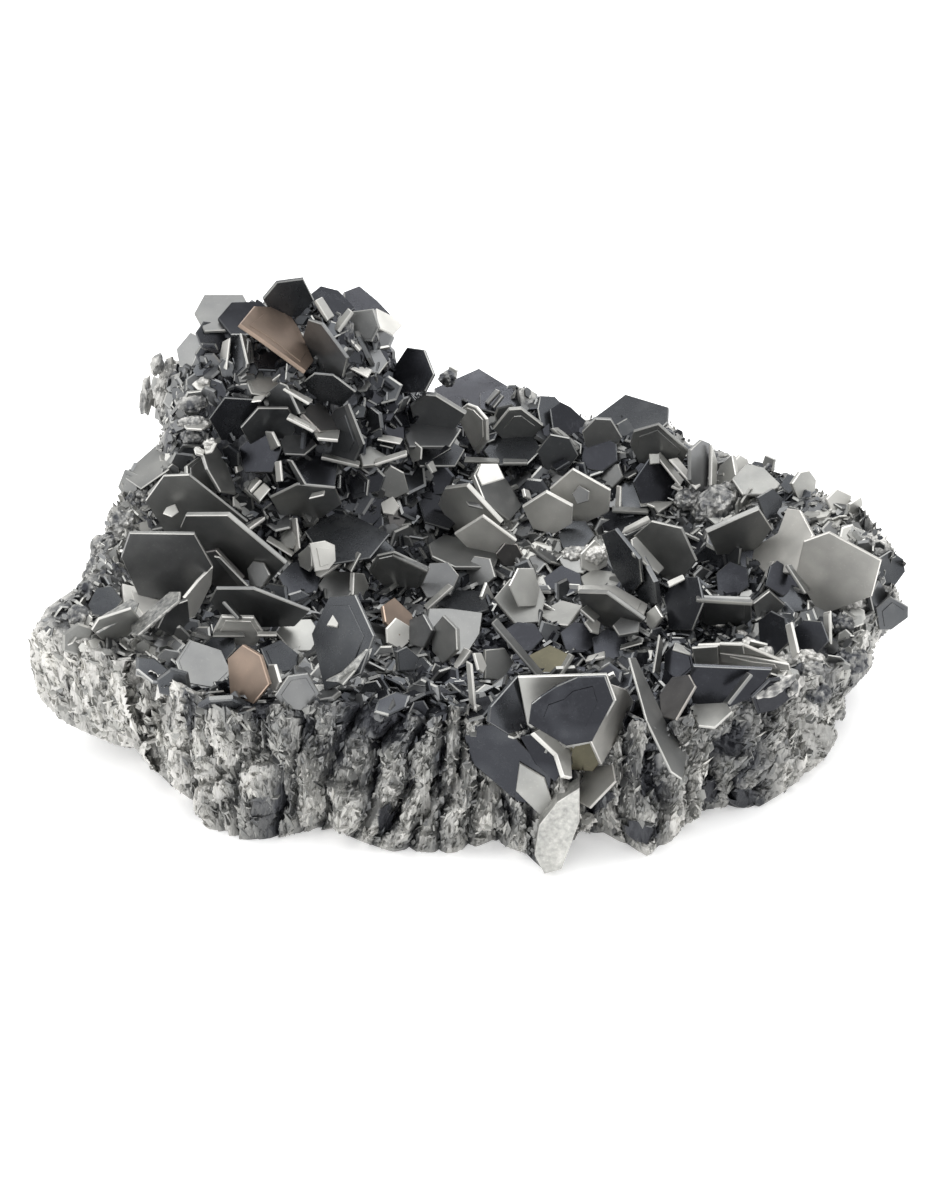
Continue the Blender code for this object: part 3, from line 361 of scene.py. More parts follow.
# %% Plates of the far side, out of the board's sight
# Each group: how many, and the box that their rays aim at, as spans of x, y and z.
HIDDEN_AIMS = [(36, ((-38, 40), (4, 22), (6, 30))), (16, ((-26, -14), (18, 26), (20, 38)))]
HIDDEN_BEARINGS = (5, 175)
HIDDEN_RISES = (-8, 60)
HIDDEN_RADIUS = (2.2, 4.4)
SURFACE_SHARE = 0.6
STAND_OUT = 0.25
LOWEST_HIDDEN = 0.5
AIM_DISTANCE = 120


def hexagon(centre, normal, radius, spin):
    across = np.cross(normal, (0.3, 0.2, 1.0))
    across /= np.linalg.norm(across)
    along = np.cross(normal, across)
    angles = [spin + k * math.pi / 3 for k in range(6)]
    return [centre + radius * (across * math.cos(a) + along * math.sin(a)) for a in angles]


def out_of_sight(corners):
    """Whether the crust hides every corner from the viewer."""
    return all(CRUST_TREE.ray_cast(Vector(c + 0.5 * TO_VIEWER), Vector(TO_VIEWER))[3] for c in corners)


def aimed_plate(rng, box):
    """One hexagon where a random ray from the far side meets the crust, or None if it would be seen."""
    aim = np.array([rng.uniform(*span) for span in box])
    turn = math.radians(rng.uniform(*HIDDEN_BEARINGS))
    rise = math.radians(rng.uniform(*HIDDEN_RISES))
    ray = np.array((math.cos(turn) * math.cos(rise), math.sin(turn) * math.cos(rise), math.sin(rise)))
    place, surface, _, _ = CRUST_TREE.ray_cast(Vector(aim + AIM_DISTANCE * ray), Vector(-ray))
    radius = rng.uniform(*HIDDEN_RADIUS)
    lean = np.array([rng.uniform(-1, 1) for _ in range(3)])
    spin = rng.uniform(0, math.pi)
    if place is None:
        return None
    normal = np.array(surface) * SURFACE_SHARE + lean
    normal /= np.linalg.norm(normal)
    corners = hexagon(np.array(place) + np.array(surface) * STAND_OUT * radius, normal, radius, spin)
    if min(corner[2] for corner in corners) < LOWEST_HIDDEN or not out_of_sight(corners):
        return None
    return corners, normal


def hidden_plates():
    rng = random.Random(SEED + 1)
    made = []
    for count, box in HIDDEN_AIMS:
        wanted = len(made) + count
        while len(made) < wanted:
            plate = aimed_plate(rng, box)
            made += [plate] if plate else []
    return made


FAR_PLATES = hidden_plates()
print(len(FAR_PLATES), "plates on the far side")

# %% [markdown]
# ## The plates that were drawn
# Each row below is a plate: its finish, the side that it leans to, and its corners on the board, across
# and up in turn, in tenths of a millimetre so that the rows stay short. "Out" is a face that leans out
# over the viewer. Laths are plates seen nearly edge on. They lie on the plates that they line up with,
# so they are laid after them.

# %% Read a drawing
def drawn(rows):
    """Rows of text as a finish, a side, and an outline in millimetres."""
    found = []
    for row in rows.strip().splitlines():
        finish, side, *tenths = row.split()
        numbers = [int(number) / 10 for number in tenths]
        found.append((finish, side, list(zip(numbers[::2], numbers[1::2]))))
    return found


print("a row reads as", drawn("tin up 0 0 15 0 15 20")[0])

# %% Plates and laths of the knob
KNOB = drawn("""
ash up -305 633 -294 654 -250 654 -238 632 -252 614 -293 612
soot up -278 627 -263 645 -229 646 -212 628 -228 608 -263 608
brown up -252 619 -236 640 -202 639 -186 615 -169 578 -178 566 -229 603
graphite down -227 647 -211 666 -181 670 -169 646 -186 628 -214 626
jet right -174 654 -162 664 -142 659 -123 639 -140 626 -166 632
soot right -136 658 -119 665 -98 648 -83 632 -108 626 -134 636
steel left -134 617 -128 634 -103 637 -96 616 -104 600 -124 601
white up -99 639 -80 630 -69 620 -80 608 -96 616
iron up -120 578 -112 590 -95 592 -86 577 -96 564 -113 567
iron down -182 606 -176 624 -161 619 -132 580 -137 559 -170 564
jet right -303 610 -294 623 -273 621 -265 606 -278 586 -296 592
ash left -326 592 -310 611 -296 604 -289 583 -305 570 -322 572
graphite left -269 572 -265 602 -252 609 -244 600 -246 570 -258 559
soot up -240 582 -229 599 -213 597 -200 582 -212 567 -232 568
tin up -246 557 -232 570 -220 567 -206 552 -222 538 -240 541
iron left -226 539 -208 553 -197 549 -181 520 -198 512 -224 522
graphite down -181 554 -169 563 -147 561 -122 542 -138 526 -172 534
umber up -182 518 -174 529 -163 531 -150 521 -139 500 -162 498
slate down -252 502 -232 524 -198 524 -186 504 -202 484 -242 484
jet right -288 512 -270 536 -236 534 -224 512 -236 490 -274 488
soot left -254 479 -241 498 -219 500 -206 480 -216 452 -248 452
iron up -208 486 -198 500 -176 498 -166 484 -180 472 -202 473
silver up -319 509 -308 518 -290 517 -285 508 -296 501 -313 502
ash down -320 526 -312 542 -296 544 -286 530 -296 518 -314 516
tin left -348 556 -336 582 -326 580 -324 552 -334 532 -346 534
white up -308 552 -296 564 -284 560 -286 549 -298 544
""")
KNOB_LATHS = drawn("""
tin left -360 532 -354 562 -348 560 -352 526
tin left -352 514 -349 546 -342 542 -344 510
pearl left -340 546 -339 582 -333 584 -332 544
silver up -167 647 -160 651 -146 629 -153 624
white up -134 609 -128 613 -111 596 -117 590
white up -133 573 -129 580 -103 568 -108 560
silver up -170 501 -140 500 -142 489 -165 491
white up -199 514 -196 519 -165 503 -169 499
white left -278 572 -273 600 -265 604 -269 568
silver right -251 609 -240 603 -236 576 -243 574
silver up -217 556 -214 560 -202 570 -206 564
white up -240 532 -237 538 -224 540 -229 533
silver left -150 615 -131 638 -127 634 -143 612
steel up -199 550 -194 552 -178 520 -184 518
white up -203 547 -199 549 -170 534 -174 530
""")
print(len(KNOB), "plates and", len(KNOB_LATHS), "laths")

# %% Plates and laths of the saddle beside the knob
SADDLE = drawn("""
tin left -388 449 -350 483 -336 478 -334 456 -366 434
ash left -393 436 -385 456 -369 450 -366 430 -382 420
tin right -313 460 -297 472 -284 454 -279 428 -296 430 -312 446
steel right -294 472 -280 485 -264 459 -257 428 -274 430 -289 456
steel left -360 420 -339 448 -310 449 -244 396 -264 374 -330 370
ash left -320 390 -314 403 -266 403 -201 348 -222 326 -290 338
iron left -386 356 -376 383 -303 382 -283 346 -316 308 -366 310
white up -385 327 -363 322 -330 312 -340 292 -364 286 -383 306
white right -314 310 -298 330 -282 346 -284 326 -302 290 -312 286
striped up -248 434 -236 448 -218 434 -230 418
tin left -211 382 -203 396 -190 395 -185 380 -194 366 -208 368
white up -252 396 -243 402 -224 410 -222 404 -244 388
silver up -261 425 -250 431 -241 418 -249 408 -260 414
umber left -292 362 -280 364 -250 332 -254 318 -280 320 -294 340
""")
SADDLE_LATHS = drawn("""
white up -247 436 -235 448 -230 444 -242 431
white up -239 428 -226 441 -219 434 -231 420
white up -340 406 -336 413 -326 417 -322 408 -330 402
white left -196 400 -190 401 -186 366 -193 360
white up -223 376 -220 381 -190 363 -194 358
white up -294 488 -279 485 -285 474 -292 472
white up -304 480 -292 478 -294 472 -302 474
white up -258 463 -252 462 -249 455 -256 452
white left -214 464 -208 465 -206 442 -212 441
silver left -225 498 -217 497 -209 481 -218 476
steel left -282 357 -276 356 -244 323 -251 320
ash left -200 466 -195 465 -179 438 -184 437
""")
print(len(SADDLE), "plates and", len(SADDLE_LATHS), "laths")

# %% Plates and laths of the middle
MIDDLE = drawn("""
jet up -198 462 -164 478 -142 462 -146 434 -180 432
steel down -219 423 -188 438 -145 434 -138 416 -164 398 -208 404
graphite up -180 386 -146 408 -124 404 -84 383 -106 356 -154 348
white up -188 355 -174 375 -146 374 -139 350 -162 334 -182 338
steel up -120 480 -112 486 -88 472 -92 462 -114 460
slate left -158 506 -146 524 -132 528 -116 482 -124 464 -152 472
tin right -102 441 -83 460 -68 452 -62 430 -80 422 -98 428
white up -95 418 -81 426 -73 414 -80 404 -92 406
umber right -87 404 -76 413 -64 403 -70 389 -84 391
iron down -61 527 -43 540 -32 539 2 518 -14 496 -56 502
iron up -70 501 -47 520 -37 520 -3 502 -16 482 -62 482
graphite up -64 485 -43 501 -35 501 1 479 -10 460 -50 460
soot up -82 568 -65 594 -45 591 -34 563 -44 544 -76 542
soot up -34 550 17 573 62 545 52 520 4 522 -30 528
silver up -22 562 -17 575 -8 570 -10 559
jet right 18 544 44 554 76 544 79 528 50 518 18 526
graphite up 84 526 87 541 104 540 124 518 110 502 88 506
soot right 98 526 110 534 122 528 140 511 128 494 102 498
steel down 33 502 51 524 65 525 90 506 78 490 46 488
graphite up 22 478 37 496 79 495 88 479 72 463 34 462
white left -9 522 3 531 13 527 25 513 26 489 14 472 -2 502
steel right 12 450 19 463 38 463 66 415 52 398 24 420
silver left -30 416 -22 434 3 437 42 395 26 376 -10 384
jet right -51 420 -37 429 -26 427 -4 403 -16 388 -44 396
white down -11 382 21 402 59 374 44 358 6 364
umber right 36 360 46 372 60 371 67 358 58 346 43 347
ash up -40 372 -22 383 42 364 34 346 -10 346 -36 358
steel left -108 340 -98 358 -79 362 -39 343 -48 322 -86 318
graphite up -118 366 -106 381 -94 381 -78 366 -90 348 -114 348
graphite left -116 516 -106 526 -96 518 -94 502 -106 496
jet left -132 438 -120 454 -108 444 -110 426 -126 422
slate right 82 476 98 496 120 492 130 472 116 454 92 456
""")
MIDDLE_LATHS = drawn("""
white up -173 372 -156 375 -145 370 -144 352 -152 342 -167 340
silver left -188 360 -176 370 -173 368 -172 346 -176 340 -186 346
white up 14 450 19 463 38 463 46 446 20 438
silver up -64 476 -56 487 -48 480 -49 467 -59 464
silver up -175 423 -172 429 -157 432 -158 427
silver left -121 363 -117 361 -128 340 -133 344
ash left -135 526 -131 529 -113 483 -118 480
white up -101 462 -101 467 -65 478 -65 473
silver up -161 470 -160 475 -117 465 -118 460
white up -98 490 -96 497 -69 491 -72 485
iron up -96 484 -95 488 -78 484 -80 480
steel up 23 533 26 532 40 547 36 549
iron up 30 528 33 527 44 541 41 543
jet up -20 484 -15 480 -40 466 -44 462
silver up -42 464 -35 466 -30 454 -35 452
tin up 100 504 106 505 133 482 129 479
ash up 44 464 44 469 72 468 72 464
tin up 0 466 1 471 40 469 40 465
iron up 2 420 5 416 22 412 16 418
steel up -80 359 -79 363 -39 345 -41 341
white up 68 435 74 433 78 422 70 426
jet up 98 460 104 456 120 466 114 469
""")
print(len(MIDDLE), "plates and", len(MIDDLE_LATHS), "laths")

# %% Plates and laths of the right
RIGHT = drawn("""
white down 97 434 123 456 166 432 164 408 136 394 104 404
white down 66 413 93 430 123 414 122 394 102 382 78 388
graphite up 106 382 121 398 138 398 148 382 134 366 112 366
ash up 107 354 120 370 140 369 146 350 134 338 116 339
white right 132 360 148 376 164 362 162 346 146 338 133 344
silver up 130 334 146 343 173 340 178 328 160 318 138 320
steel down 128 316 160 315 202 285 186 272 158 278 134 294
silver up 81 294 111 308 134 302 117 280 98 282
tin up 34 310 52 332 80 334 92 310 86 283 58 281
jet up 89 333 110 348 132 338 134 322 114 312 92 320
graphite left 172 412 175 437 188 446 215 442 224 422 208 408
soot up 192 442 210 468 228 462 241 438 230 416 202 416
steel left 191 380 211 397 245 389 262 352 244 328 212 334
soot up 154 402 172 414 209 412 214 396 184 382 158 386
graphite left 155 382 170 388 197 354 200 328 186 312 168 340
graphite left 189 340 199 356 214 328 217 304 204 298 190 322
jet up 226 314 238 334 263 334 269 306 256 274 230 274
iron left 262 292 266 310 322 308 324 286 314 276 266 278
silver up 205 294 215 302 223 289 211 274 205 280
graphite up 140 510 184 543 233 528 232 511 204 486 158 486
ash down 188 484 192 499 220 507 254 477 246 458 200 460
ash down 134 499 149 514 167 513 180 492 168 476 140 478
slate up 174 508 186 515 195 502 188 492 177 495
soot up 132 480 156 497 173 486 174 466 156 454 134 458
steel up 154 448 163 461 175 463 180 448 168 436 159 438
ash right 257 478 270 490 280 486 282 442 268 428 257 444
silver left 286 446 290 461 304 473 308 450 296 436
white right 306 464 314 473 323 468 326 452 316 438 307 444
tin up 304 446 320 463 340 459 359 440 350 428 316 428
steel left 338 462 342 473 353 468 350 454 342 452
steel down 274 384 298 395 333 410 348 388 330 362 286 358
graphite right 332 424 350 435 362 422 358 404 342 398
pearl up 318 362 354 384 365 412 379 410 393 382 374 338 338 340
pearl down 373 336 382 374 410 384 469 352 459 312 402 290
soot right 340 324 346 347 354 353 366 345 381 324 360 312
graphite right 466 354 482 364 497 354 499 340 484 320 468 328
slate right 464 298 480 312 501 300 501 288 482 274 468 274
slate right 458 312 468 330 479 316 479 292 466 278
silver up 372 440 381 453 392 455 400 444 398 424 380 422
graphite left 358 438 366 451 374 449 378 436 368 428
white right 410 422 422 434 439 426 434 406 418 404
white right 436 416 450 425 452 416 442 402 435 404
iron right 326 304 344 318 362 302 350 288 330 288
graphite up 346 316 366 328 390 316 384 296 358 292
jet left 330 284 344 296 360 288 364 260 346 242 332 256
jet up 368 274 382 286 402 284 410 262 394 244 372 248
pearl down 255 244 262 256 310 258 362 236 352 226 264 229
soot out 250 216 256 234 344 230 326 200 292 186 256 192
soot up 224 248 236 260 254 252 258 232 240 216 224 224
umber left 218 202 232 222 251 225 258 212 236 174 220 178
silver up 252 188 262 195 292 195 300 184 280 166 262 168
soot down 322 198 342 218 368 220 374 204 348 184 328 180
slate left 286 364 296 376 312 366 310 348 294 344
soot up 284 338 300 352 320 344 322 324 306 312 286 318
""")
RIGHT_LATHS = drawn("""
iron down 122 428 130 438 142 431 141 420 128 416
silver up 51 324 61 344 79 344 86 320 82 301 62 300
ash up 167 280 176 289 197 284 196 273 174 269
white up 129 319 129 325 170 325 208 303 200 287 162 314
tin up 131 298 138 303 153 290 147 284
white up 136 283 145 290 154 283 152 270 144 272
silver right 189 377 194 380 226 344 220 338 191 360
white up 178 384 181 390 208 404 210 400
white left 171 411 173 438 177 437 176 412
tin up 168 410 168 415 209 412 209 408
white up 230 324 228 329 246 337 248 333
white up 218 473 223 476 250 444 246 438
white up 233 468 242 470 269 438 264 434
tin up 210 474 222 474 222 463 211 462
white right 282 484 288 466 287 438 281 438
white left 360 280 366 283 374 248 368 242
white left 404 294 411 296 412 258 406 254
tin up 234 253 237 261 256 252 254 247
tin right 220 269 224 260 220 226 213 226
iron up 289 194 294 193 320 226 316 228
silver up 199 421 200 417 220 419 238 420 220 408 216 414
white up 236 438 240 442 249 436 248 432
steel up 261 309 261 313 324 309 324 305
white up 136 240 138 245 158 251 158 245
tin up 175 253 176 258 201 265 200 260
white up 160 225 170 230 174 222 166 218
white up 194 243 202 253 212 252 210 240
white left 336 330 340 332 349 352 345 352
steel right 364 348 368 349 390 318 385 316
""")
print(len(RIGHT), "plates and", len(RIGHT_LATHS), "laths")

# %% Plates and laths of the front
FRONT = drawn("""
silver out 60 222 159 225 170 196 144 148 114 142 70 168
jet right 28 172 30 189 60 223 74 196 70 164 50 158
honey out 114 149 158 149 152 126 144 116 120 118
honey up 72 246 96 258 119 247 106 220 82 220
jet out 0 156 12 169 43 169 98 112 94 78 60 82 8 126
soot out 62 156 82 159 114 122 102 104 80 124
white right 78 161 93 168 119 146 121 110 112 112 104 136
pearl right 162 215 182 208 193 190 154 124 142 150 166 196
pearl left 129 114 142 122 166 125 169 106 140 76 129 82
chalk out 79 22 84 56 104 82 129 98 129 60 109 6 90 1
steel right 185 244 192 244 227 170 250 136 244 108 232 116 204 174
iron down -286 306 -278 320 -236 320 -173 295 -190 278 -260 276
jet up -210 335 -195 351 -178 351 -160 338 -166 316 -200 314
steel left -165 325 -153 342 -128 340 -118 330 -132 310 -156 310
silver right -124 339 -112 338 -106 322 -116 308 -125 314
tin up -211 271 -202 286 -172 287 -161 270 -172 251 -194 251
white down -282 271 -272 289 -236 288 -225 270 -236 254 -270 252
jet left -292 258 -280 270 -259 269 -256 254 -270 238 -286 238
ash up -323 240 -308 264 -272 252 -260 226 -280 206 -312 212
brown left -265 242 -248 258 -228 246 -218 214 -236 192 -262 202
graphite up -228 254 -206 264 -186 248 -188 226 -214 222
white left -219 212 -219 236 -212 236 -206 216 -212 204
ash down -211 201 -196 223 -174 226 -161 204 -176 184 -200 186
graphite up -171 270 -151 312 -122 314 -101 268 -116 226 -156 206
white up -87 276 -76 288 -60 278 -60 262 -71 252 -86 260
brown right -91 302 -78 311 -58 292 -54 272 -72 268 -88 284
steel up -41 284 -39 299 -16 299 21 294 18 270 4 248 -14 246
steel left -38 274 -24 291 -9 276 -8 252 -24 236 -36 250
iron left -51 326 -39 350 -18 351 -6 336 -16 314 -42 310
ash up 2 344 11 358 29 355 35 334 22 322 5 324
white right 20 312 26 328 36 308 24 298
graphite up -36 302 -10 320 22 318 28 298 -6 288
tin down -418 274 -410 286 -373 298 -360 282 -380 266 -406 262
graphite left -424 302 -414 322 -396 324 -384 308 -396 292 -416 288
iron right -344 276 -332 300 -310 308 -308 284 -326 266
silver left -446 294 -428 300 -418 288 -424 272 -442 272
graphite up -76 250 -64 256 -50 244 -56 228 -74 228
iron up -62 286 -46 292 -36 274 -46 254 -62 258
steel right 24 252 46 254 56 238 44 218 24 220
soot up 44 274 60 284 80 282 90 266 74 250 50 254
soot up 108 272 124 284 146 280 152 262 136 248 114 252
jet up 144 266 160 276 182 270 184 250 164 238 146 246
""")
FRONT_LATHS = drawn("""
striped out -154 217 -138 225 -110 252 -102 254 -106 242 -134 215
striped left -419 276 -415 286 -374 310 -366 306 -369 296 -413 272
striped left -373 270 -374 280 -330 318 -319 318 -320 308 -366 269
white down 286 248 320 244 364 235 366 229 325 232 288 239
tin down 255 254 284 256 285 236 259 234
silver down 286 258 312 257 314 247 286 249
silver out 62 126 90 109 99 82 86 66 58 94
ash left -245 343 -238 352 -226 350 -219 336 -228 322 -242 324
soot out 126 222 157 223 167 196 143 150 114 145 72 170 75 192 85 200 103 212
white up -420 274 -419 282 -375 302 -371 296
silver up -360 286 -330 310 -325 304 -352 277
steel right 32 283 37 288 90 226 83 223
white left 2 240 7 237 13 170 8 168
white up -13 234 -9 230 7 252 0 255
white right 12 249 20 249 26 234 22 226 17 230
white up -154 280 -147 292 -137 288 -142 278
white up -134 298 -130 304 -113 286 -117 279
silver up -46 302 -42 298 -13 324 -18 327
silver up 104 226 107 224 121 247 117 249
white up -232 273 -232 269 -210 269 -210 273
steel up -282 272 -282 268 -246 268 -246 272
iron up -269 307 -265 307 -248 288 -252 288
silver up -140 216 -136 214 -122 230 -126 232
""")
print(len(FRONT), "plates and", len(FRONT_LATHS), "laths")

# %% All the drawn rows, and what each finish means
PLATES = KNOB + SADDLE + MIDDLE + RIGHT + FRONT
LATHS = KNOB_LATHS + SADDLE_LATHS + MIDDLE_LATHS + RIGHT_LATHS + FRONT_LATHS
# What each finish is: how light it is from 0 to 1, how brown, and how coarse. A plate's finish follows
# how light the plate looks, so its lightness is partly the crystal's own tone and partly painted light
# and shade: painted reflections of the lamps, painted shade, and painted light on some plates in shade.
TONES = {
    "soot": 0.0, "jet": 0.05, "graphite": 0.13, "slate": 0.18, "iron": 0.27, "ash": 0.35, "steel": 0.4,
    "tin": 0.5, "silver": 0.6, "striped": 0.55, "pearl": 0.62, "white": 0.84, "chalk": 0.66, "brown": 0.44,
    "umber": 0.26, "honey": 0.22,
}
WARM = {"brown": 1.0, "umber": 0.25, "pearl": 0.06}
COARSE = {"striped": 1.0, "chalk": 0.5}
print(len(PLATES), "plates and", len(LATHS), "laths")

# %% [markdown]
# A real plate shows because the crust has not grown over its face, so the crust has to give way to every
# drawn plate. For that a point's gap is measured: how far along the sight line it stands in front of a
# plate that it lines up with. The same gap tells how far a lath has to come forward.

# %% Where the drawn plates lie
LATH_LIFT = 0.35
MOST_LIFT = 16.0
MOST_RETREAT = 8.0
FARTHEST_AHEAD = 7.0
NO_PLATE = -50.0
LAID_PLATES = [(outline, *placed_plate(side, outline)) for _, side, outline in PLATES]


def lined_up(across, up, outline):
    """Which of many board places lie inside an outline."""
    crossings = np.zeros(len(across), int)
    for (x1, y1), (x2, y2) in zip(outline, outline[1:] + outline[:1]):
        if y1 != y2:
            crossings += ((y1 > up) != (y2 > up)) & (across < x1 + (up - y1) * (x2 - x1) / (y2 - y1))
    return crossings % 2 == 1


def gap_ahead(points, corner, normal):
    """How far along the sight line points stand in front of a plate's face."""
    return (points - corner) @ normal / (normal @ TO_VIEWER)


def laid_lath(side, outline):
    """A lath moved towards the viewer until it lies on the plates that it lines up with."""
    corners, normal, thickness = placed_plate(side, outline)
    corners = np.array(corners)
    places = on_board(corners)
    lift = 0.0
    for plate_outline, plate_corners, plate_normal, _ in LAID_PLATES:
        under = corners[lined_up(*places, plate_outline)]
        if len(under):
            behind = -gap_ahead(under, plate_corners[0], plate_normal).min()
            lift = max(lift, min(behind, MOST_LIFT))
    return outline, list(corners + (lift + LATH_LIFT) * TO_VIEWER), normal, thickness


LAID_LATHS = [laid_lath(side, outline) for _, side, outline in LATHS]


def ahead_of_plates(points):
    """How far each point stands in front of the drawn plates, or NO_PLATE where it lines up with none."""
    across, up = on_board(points)
    ahead = np.full(len(points), NO_PLATE)
    for outline, corners, normal, _ in LAID_PLATES + LAID_LATHS:
        under = np.flatnonzero(lined_up(across, up, outline))
        gap = gap_ahead(points[under], corners[0], normal)
        near = gap < FARTHEST_AHEAD
        ahead[under[near]] = np.maximum(ahead[under[near]], gap[near])
    return ahead


def give_way(points, clearance=0.6):
    """Points moved back along the sight line until they are behind the drawn plates."""
    retreat = np.clip(ahead_of_plates(points) + clearance, 0.0, MOST_RETREAT)
    moved = points - TO_VIEWER * retreat[:, None]
    moved[:, 2] = np.maximum(moved[:, 2], 0.0)
    return moved


print(len(LAID_PLATES), "plates and", len(LAID_LATHS), "laths laid")

# %% [markdown]
# ## The wall of columns
# Broken silicon carbide crust looks like packed fibres: upright columns a few millimetres wide, each
# split into thinner blades, with deep gaps, ledges where a column has snapped, and pits. It could be one
# bump map, but from the side the ragged outline would be missing. So the wall is a fine grid that is
# pushed in and out by two rows of columns, wide and narrow. The front gets the finest part of the grid.

# %% Noise that closes on itself round the wall
TABLE_ROWS = 64
LENGTHS = 30
FULL_TURN = 6.28


def random_table(seed, across):
    return np.random.default_rng(seed).random((across, TABLE_ROWS))


def smooth_noise(x, y, across, seed):
    """Soft noise from -1 to 1 that repeats after a whole number of cells in x."""
    table = random_table(seed, across) * 2 - 1
    left, low = np.floor(x).astype(int), np.floor(y).astype(int)
    share_x, share_y = x - left, y - low
    share_x, share_y = share_x**2 * (3 - 2 * share_x), share_y**2 * (3 - 2 * share_y)

    def at_row(row):
        one, two = table[left % across, row % TABLE_ROWS], table[(left + 1) % across, row % TABLE_ROWS]
        return one * (1 - share_x) + two * share_x

    return at_row(low) * (1 - share_y) + at_row(low + 1) * share_y


def column_row(place, height, count, run, sharpness, seed):
    """One row of columns: the rounding across each, from 0 to 1, then for each length of it a chance
    value and how far the place is along and across a flat face that tilts its own way."""
    index = np.floor(place).astype(int) % count
    share = place - np.floor(place)
    table = random_table(seed, count)
    run_place = height / run + table[index, 0] * 9
    length = np.floor(run_place).astype(int) % LENGTHS
    chance, tilt = table[index, 1 + length], FULL_TURN * table[index, 1 + LENGTHS + length]
    face = (share - 0.5) * np.cos(tilt) + (run_place - np.floor(run_place) - 0.5) * np.sin(tilt)
    return 1 - np.abs(2 * share - 1) ** sharpness, chance, face


print("three values of the noise:", np.round(smooth_noise(np.arange(3) + 0.5, np.arange(3) + 0.5, 9, 1), 2))

# %% Pits, patches and flat faces of the wall
# The wall's tone from left to right: x, and the tone there.
WALL_TONES = [(-48, 0.86), (-35, 0.86), (-24, 0.6), (-10, 0.5), (6, 0.5), (16, 0.52), (30, 0.54), (42, 0.66)]
# Each pit: its place on the board, half sizes, and depth.
PITS = [
    (-29.8, 18.4, 0.7, 2.6, 2.4), (-28.6, 20.6, 1.4, 0.8, 2.4), (-26.7, 14.6, 0.4, 2.4, 1.6),
    (-24.2, 16.0, 0.6, 3.8, 2.2), (-26.6, 7.8, 1.2, 0.8, 1.6), (-29.2, 10.2, 1.2, 0.5, 1.4),
    (-22.8, 7.4, 1.8, 1.8, 1.0), (-8.0, 6.0, 0.8, 2.4, 1.6), (-2.6, 10.4, 0.6, 3.4, 1.8),
    (-17.4, 15.6, 0.8, 2.2, 1.8), (30.8, 14.2, 1.5, 0.9, 2.2), (33.8, 14.6, 0.9, 1.4, 1.4),
    (-13.0, 20.6, 3.2, 1.8, 2.4), (-38.4, 22.4, 0.7, 2.2, 1.6), (-35.7, 20.8, 0.6, 3.6, 1.8),
    (35.0, 18.4, 2.2, 1.7, 3.0), (42.2, 17.2, 0.9, 1.5, 2.0), (7.6, 12.5, 1.6, 2.6, 2.2),
    (20.6, 12.0, 1.0, 4.0, 1.6), (28.6, 12.0, 0.8, 3.6, 1.6), (-20.0, 9.0, 0.7, 3.6, 1.5),
    (-43.6, 24.4, 0.5, 1.6, 1.4), (-41.0, 22.4, 0.5, 2.0, 1.4),
]
# Each patch that is lighter or darker: its place on the board, half sizes, and the shift.
WALL_PATCHES = [
    (-22.5, 6.5, 2.6, 2.6, -0.25), (-27.0, 7.6, 1.6, 1.2, -0.2), (20.4, 11.0, 2.6, 4.4, -0.3),
    (31.5, 13.0, 3.4, 4.5, -0.25), (27.3, 9.6, 1.3, 2.0, -0.2), (-7.5, 17.0, 5.0, 3.0, -0.42),
    (-45.0, 22.0, 4.0, 4.0, 0.06), (-33.5, 15.0, 2.4, 5.0, 0.12), (39.5, 15.0, 3.0, 3.0, 0.18),
    (3.0, 6.5, 2.5, 3.2, 0.14), (-27.4, 12.0, 1.6, 1.6, 0.1), (-14.0, 6.0, 2.0, 2.4, 0.12),
    (-4.6, 8.0, 1.6, 3.0, 0.1), (-38.0, 17.0, 1.6, 1.5, -0.2), (-10.6, 5.0, 2.0, 1.6, 0.1),
    (-1.0, 2.5, 11.0, 5.0, 0.2), (18.0, 4.0, 7.0, 5.0, 0.24), (-21.0, 19.0, 7.0, 4.0, -0.26),
    (22.0, 19.0, 3.0, 5.0, -0.34), (42.5, 21.5, 3.4, 3.2, -0.42), (28.0, 12.0, 2.0, 2.5, 0.2),
    (-8.0, 7.5, 2.4, 3.0, 0.24), (-18.0, 7.5, 2.4, 3.0, 0.2),
]
# Each flat face: its tone, its slope to the side, and its corners, drawn as the plates are.
WALL_FACES = drawn("""
0.78 -0.3 -378 243 -370 246 -361 234 -362 210 -365 192 -376 190 -380 212
0.7 0.2 -376 188 -366 192 -358 170 -356 148 -364 152 -370 172
0.8 0.1 -350 232 -342 226 -324 220 -326 212 -338 209 -346 216
0.8 -0.2 -354 184 -330 204 -322 202 -318 188 -315 172 -326 160 -352 156
0.72 0.2 -354 152 -334 144 -332 120 -326 106 -334 100 -348 118 -358 134
0.2 0.4 -316 214 -304 212 -299 190 -301 166 -310 154 -313 174
0.74 0.3 -276 207 -264 208 -254 202 -248 186 -247 170 -256 170 -262 184
0.66 -0.2 -288 134 -272 132 -264 116 -274 104 -286 110
0.6 0.3 -194 178 -183 176 -181 154 -186 140 -193 146
0.74 -0.3 -55 82 -49 98 -41 104 -38 90 -37 70 -46 60 -54 64
0.5 0.4 -106 82 -94 88 -92 74 -110 48 -118 52
0.06 0.3 -96 72 -84 82 -76 70 -84 46 -96 44
0.66 -0.3 -16 104 -6 112 1 98 -4 82 -13 86
0.7 -0.2 24 102 36 106 44 96 38 80 26 82
0.6 0.2 76 62 90 66 94 46 84 34 74 46
0.72 0 256 192 292 194 298 178 270 170 258 178
0.7 -0.1 362 178 386 180 404 174 430 160 414 132 392 128 366 130 354 156
0.03 0.3 262 84 270 110 278 114 286 94 280 80
0.1 -0.2 296 82 304 96 324 96 332 86 314 72
0.12 0 176 52 184 62 214 58 218 44 204 34 188 40
0.1 0.3 134 64 136 78 164 96 169 88 148 68
0.3 -0.2 -238 86 -216 88 -210 64 -224 48 -240 60
""")
print(len(PITS), "pits,", len(WALL_PATCHES), "patches and", len(WALL_FACES), "flat faces")


